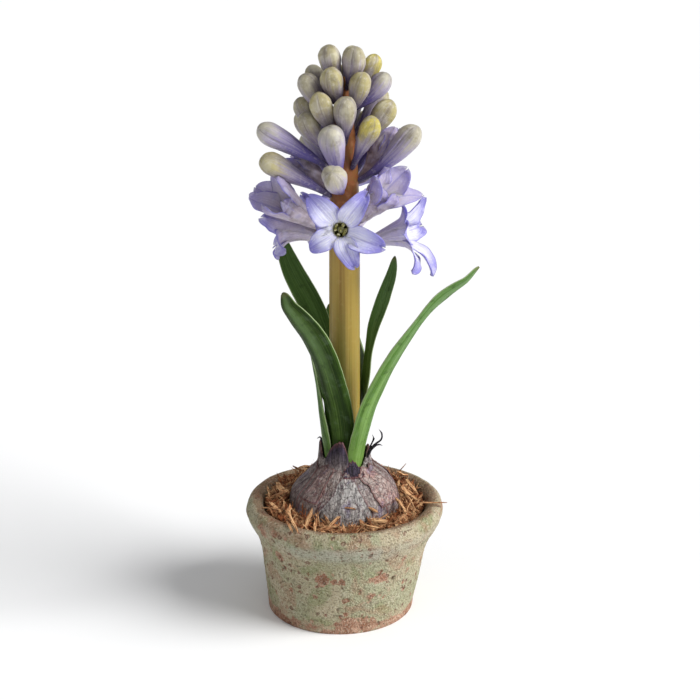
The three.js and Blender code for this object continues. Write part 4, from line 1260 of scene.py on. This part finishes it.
def throat(head, aim, draw):
    """What stands inside the mouth: the ovary with its stigma, and six anthers round it."""
    mesh = bmesh.new()
    fibre = mesh.verts.layers.float_vector.new("fibre")
    to_aim = Vector((0, 0, 1)).rotation_difference(aim).to_matrix().to_4x4()
    ovary = bmesh.ops.create_uvsphere(mesh, u_segments=16, v_segments=12, radius=1)["verts"]
    bmesh.ops.scale(mesh, vec=(2.1, 2.1, 2.8), verts=ovary)
    bmesh.ops.translate(mesh, vec=(0, 0, -5.2), verts=ovary)
    for i in range(7):  # the seventh is the stigma
        anther = bmesh.ops.create_uvsphere(mesh, u_segments=10, v_segments=8, radius=1)["verts"]
        bmesh.ops.scale(mesh, vec=(0.75, 1, 2.1) if i < 6 else (0.8, 0.8, 1.6), verts=anther)
        place = Matrix.Rotation(math.radians(60 * i + draw.uniform(-12, 12)), 4, "Z")
        inset = (draw.uniform(2.3, 3.3), 0, draw.uniform(-2.6, -1.4)) if i < 6 else (0, 0, -2.6)
        place @= Matrix.Translation(inset)
        place @= Matrix.Rotation(draw.uniform(-0.7, 0.1), 4, "Y")
        place @= Matrix.Rotation(draw.uniform(-0.5, 0.5), 4, "X")
        bmesh.ops.transform(mesh, matrix=place, verts=anther)
    bmesh.ops.transform(mesh, matrix=Matrix.Translation(head) @ to_aim, verts=mesh.verts)
    for v in mesh.verts:
        v[fibre] = (0, 0, -1)
    return mesh


def floret(number, place, root_height, rise, grey, full_width, bell, petals):
    """One open floret, from its root in the scape to its petals and its throat."""
    root, bend, head, aim = flower_line(place, root_height, rise)
    head -= aim * 0.8
    curve = interpolate_bezier(root, root.lerp(bend, 0.6), bend, head, TUBE_STATIONS)
    line = evenly_spaced(curve, TUBE_STATIONS)
    draw = random.Random(number)
    mesh = bmesh.new()
    for i, (clock, start, end, length) in enumerate(petals):
        clockwise = (petals[(i + 1) % 6][0] - clock) % 360
        counter = (clock - petals[i - 1][0]) % 360
        step = WHORL_STEP * (i % 2)
        form = (clock, clockwise, counter, start, end, length, step, full_width, bell)
        pour(mesh, petal(line, head, aim, *form, draw))
    pour(mesh, throat(head, aim, draw))
    shade = mesh.verts.layers.float.new("grey")
    for v in mesh.verts:
        v[shade] = grey
    return mesh


def petal_finish():
    finish, tree, shader = finish_named("lilac petal", 0.46, 0.35)
    grain = laid_on(tree, "fibre")
    across, side, along = parts(grain)
    from_middle = maths("ABSOLUTE", across)
    inner = ranged(side, -0.5, 0.5)
    lobe = ranged(along, 1.05, 1.4)
    grey = laid_on(tree, "grey", "Fac")
    tinted = ranged(grey, 0.0, 1.0, 1.0, 0.35)
    veins = streaked(grain, (8, 2, 1.1), 5, 0.3)
    place = object_place(tree)
    clouds = mottle(place, 130, 5)
    bloom = mottle(place, 600, 4)
    face = two_tone(veins, 0.3, 0.7, "cacaea", "f0f0fb")
    face = mixed(times(grey, 0.9), face, colour("cdbecb"))
    back = two_tone(veins, 0.3, 0.7, "b0a8cb", "dad4e8")
    back = mixed(grey, back, two_tone(clouds, 0.42, 0.6, "a8989e", "d0c3cb"))
    violet = colour("6f67b8")
    sides = times(ranged(from_middle, 0.25, 0.95, 0.0, 0.55), lobe)
    skin = mixed(times(sides, tinted), mixed(inner, back, face), colour("918dc8"))
    edge = times(ranged(from_middle, 0.86, 1.0, 0.0, 0.75), lobe)
    skin = mixed(edge, skin, violet)
    tip = plus(along, ranged(veins, 0.25, 0.75, -0.14, 0.14))
    skin = mixed(times(ranged(tip, 1.4, 1.98, 0.0, 0.88), tinted), skin, violet)
    rib = times(ranged(from_middle, 0.12, 0.0, 0.0, 0.5), lobe)
    skin = painted(mixed(rib, skin, colour("7d77bd")), [
        (clouds, 0.54, 0.7, 0.35, "9690c6"),
        (clouds, 0.44, 0.32, 0.4, "d6d3e8"),
        (bloom, 0.56, 0.7, 0.25, "e6e4f2"),
    ])
    foot = times(ranged(along, 0.4, 0.0, 0.0, 0.7), ranged(side, 0.5, -0.5))
    skin = mixed(foot, skin, colour("5c4a86"))
    skin = mixed(times(ranged(along, 1.06, 0.86), inner), skin, colour("85803e"))
    pollen = two_tone(bloom, 0.42, 0.58, "a39f52", "ebe7b4")
    skin = mixed(ranged(along, -0.6, -0.9), skin, pollen)
    lit_through(shader, 0.45, (0.6, 0.6, 1.0))
    dressed(shader, skin, plus(veins, times(bloom, 0.3)), 0.0005)
    return finish


lilac_petal = petal_finish()
for number, bloom in enumerate(FLORETS, 1):
    name = f"floret_{number:02}"
    set_down(name + "_open", floret(number, *bloom), name, lilac_petal)
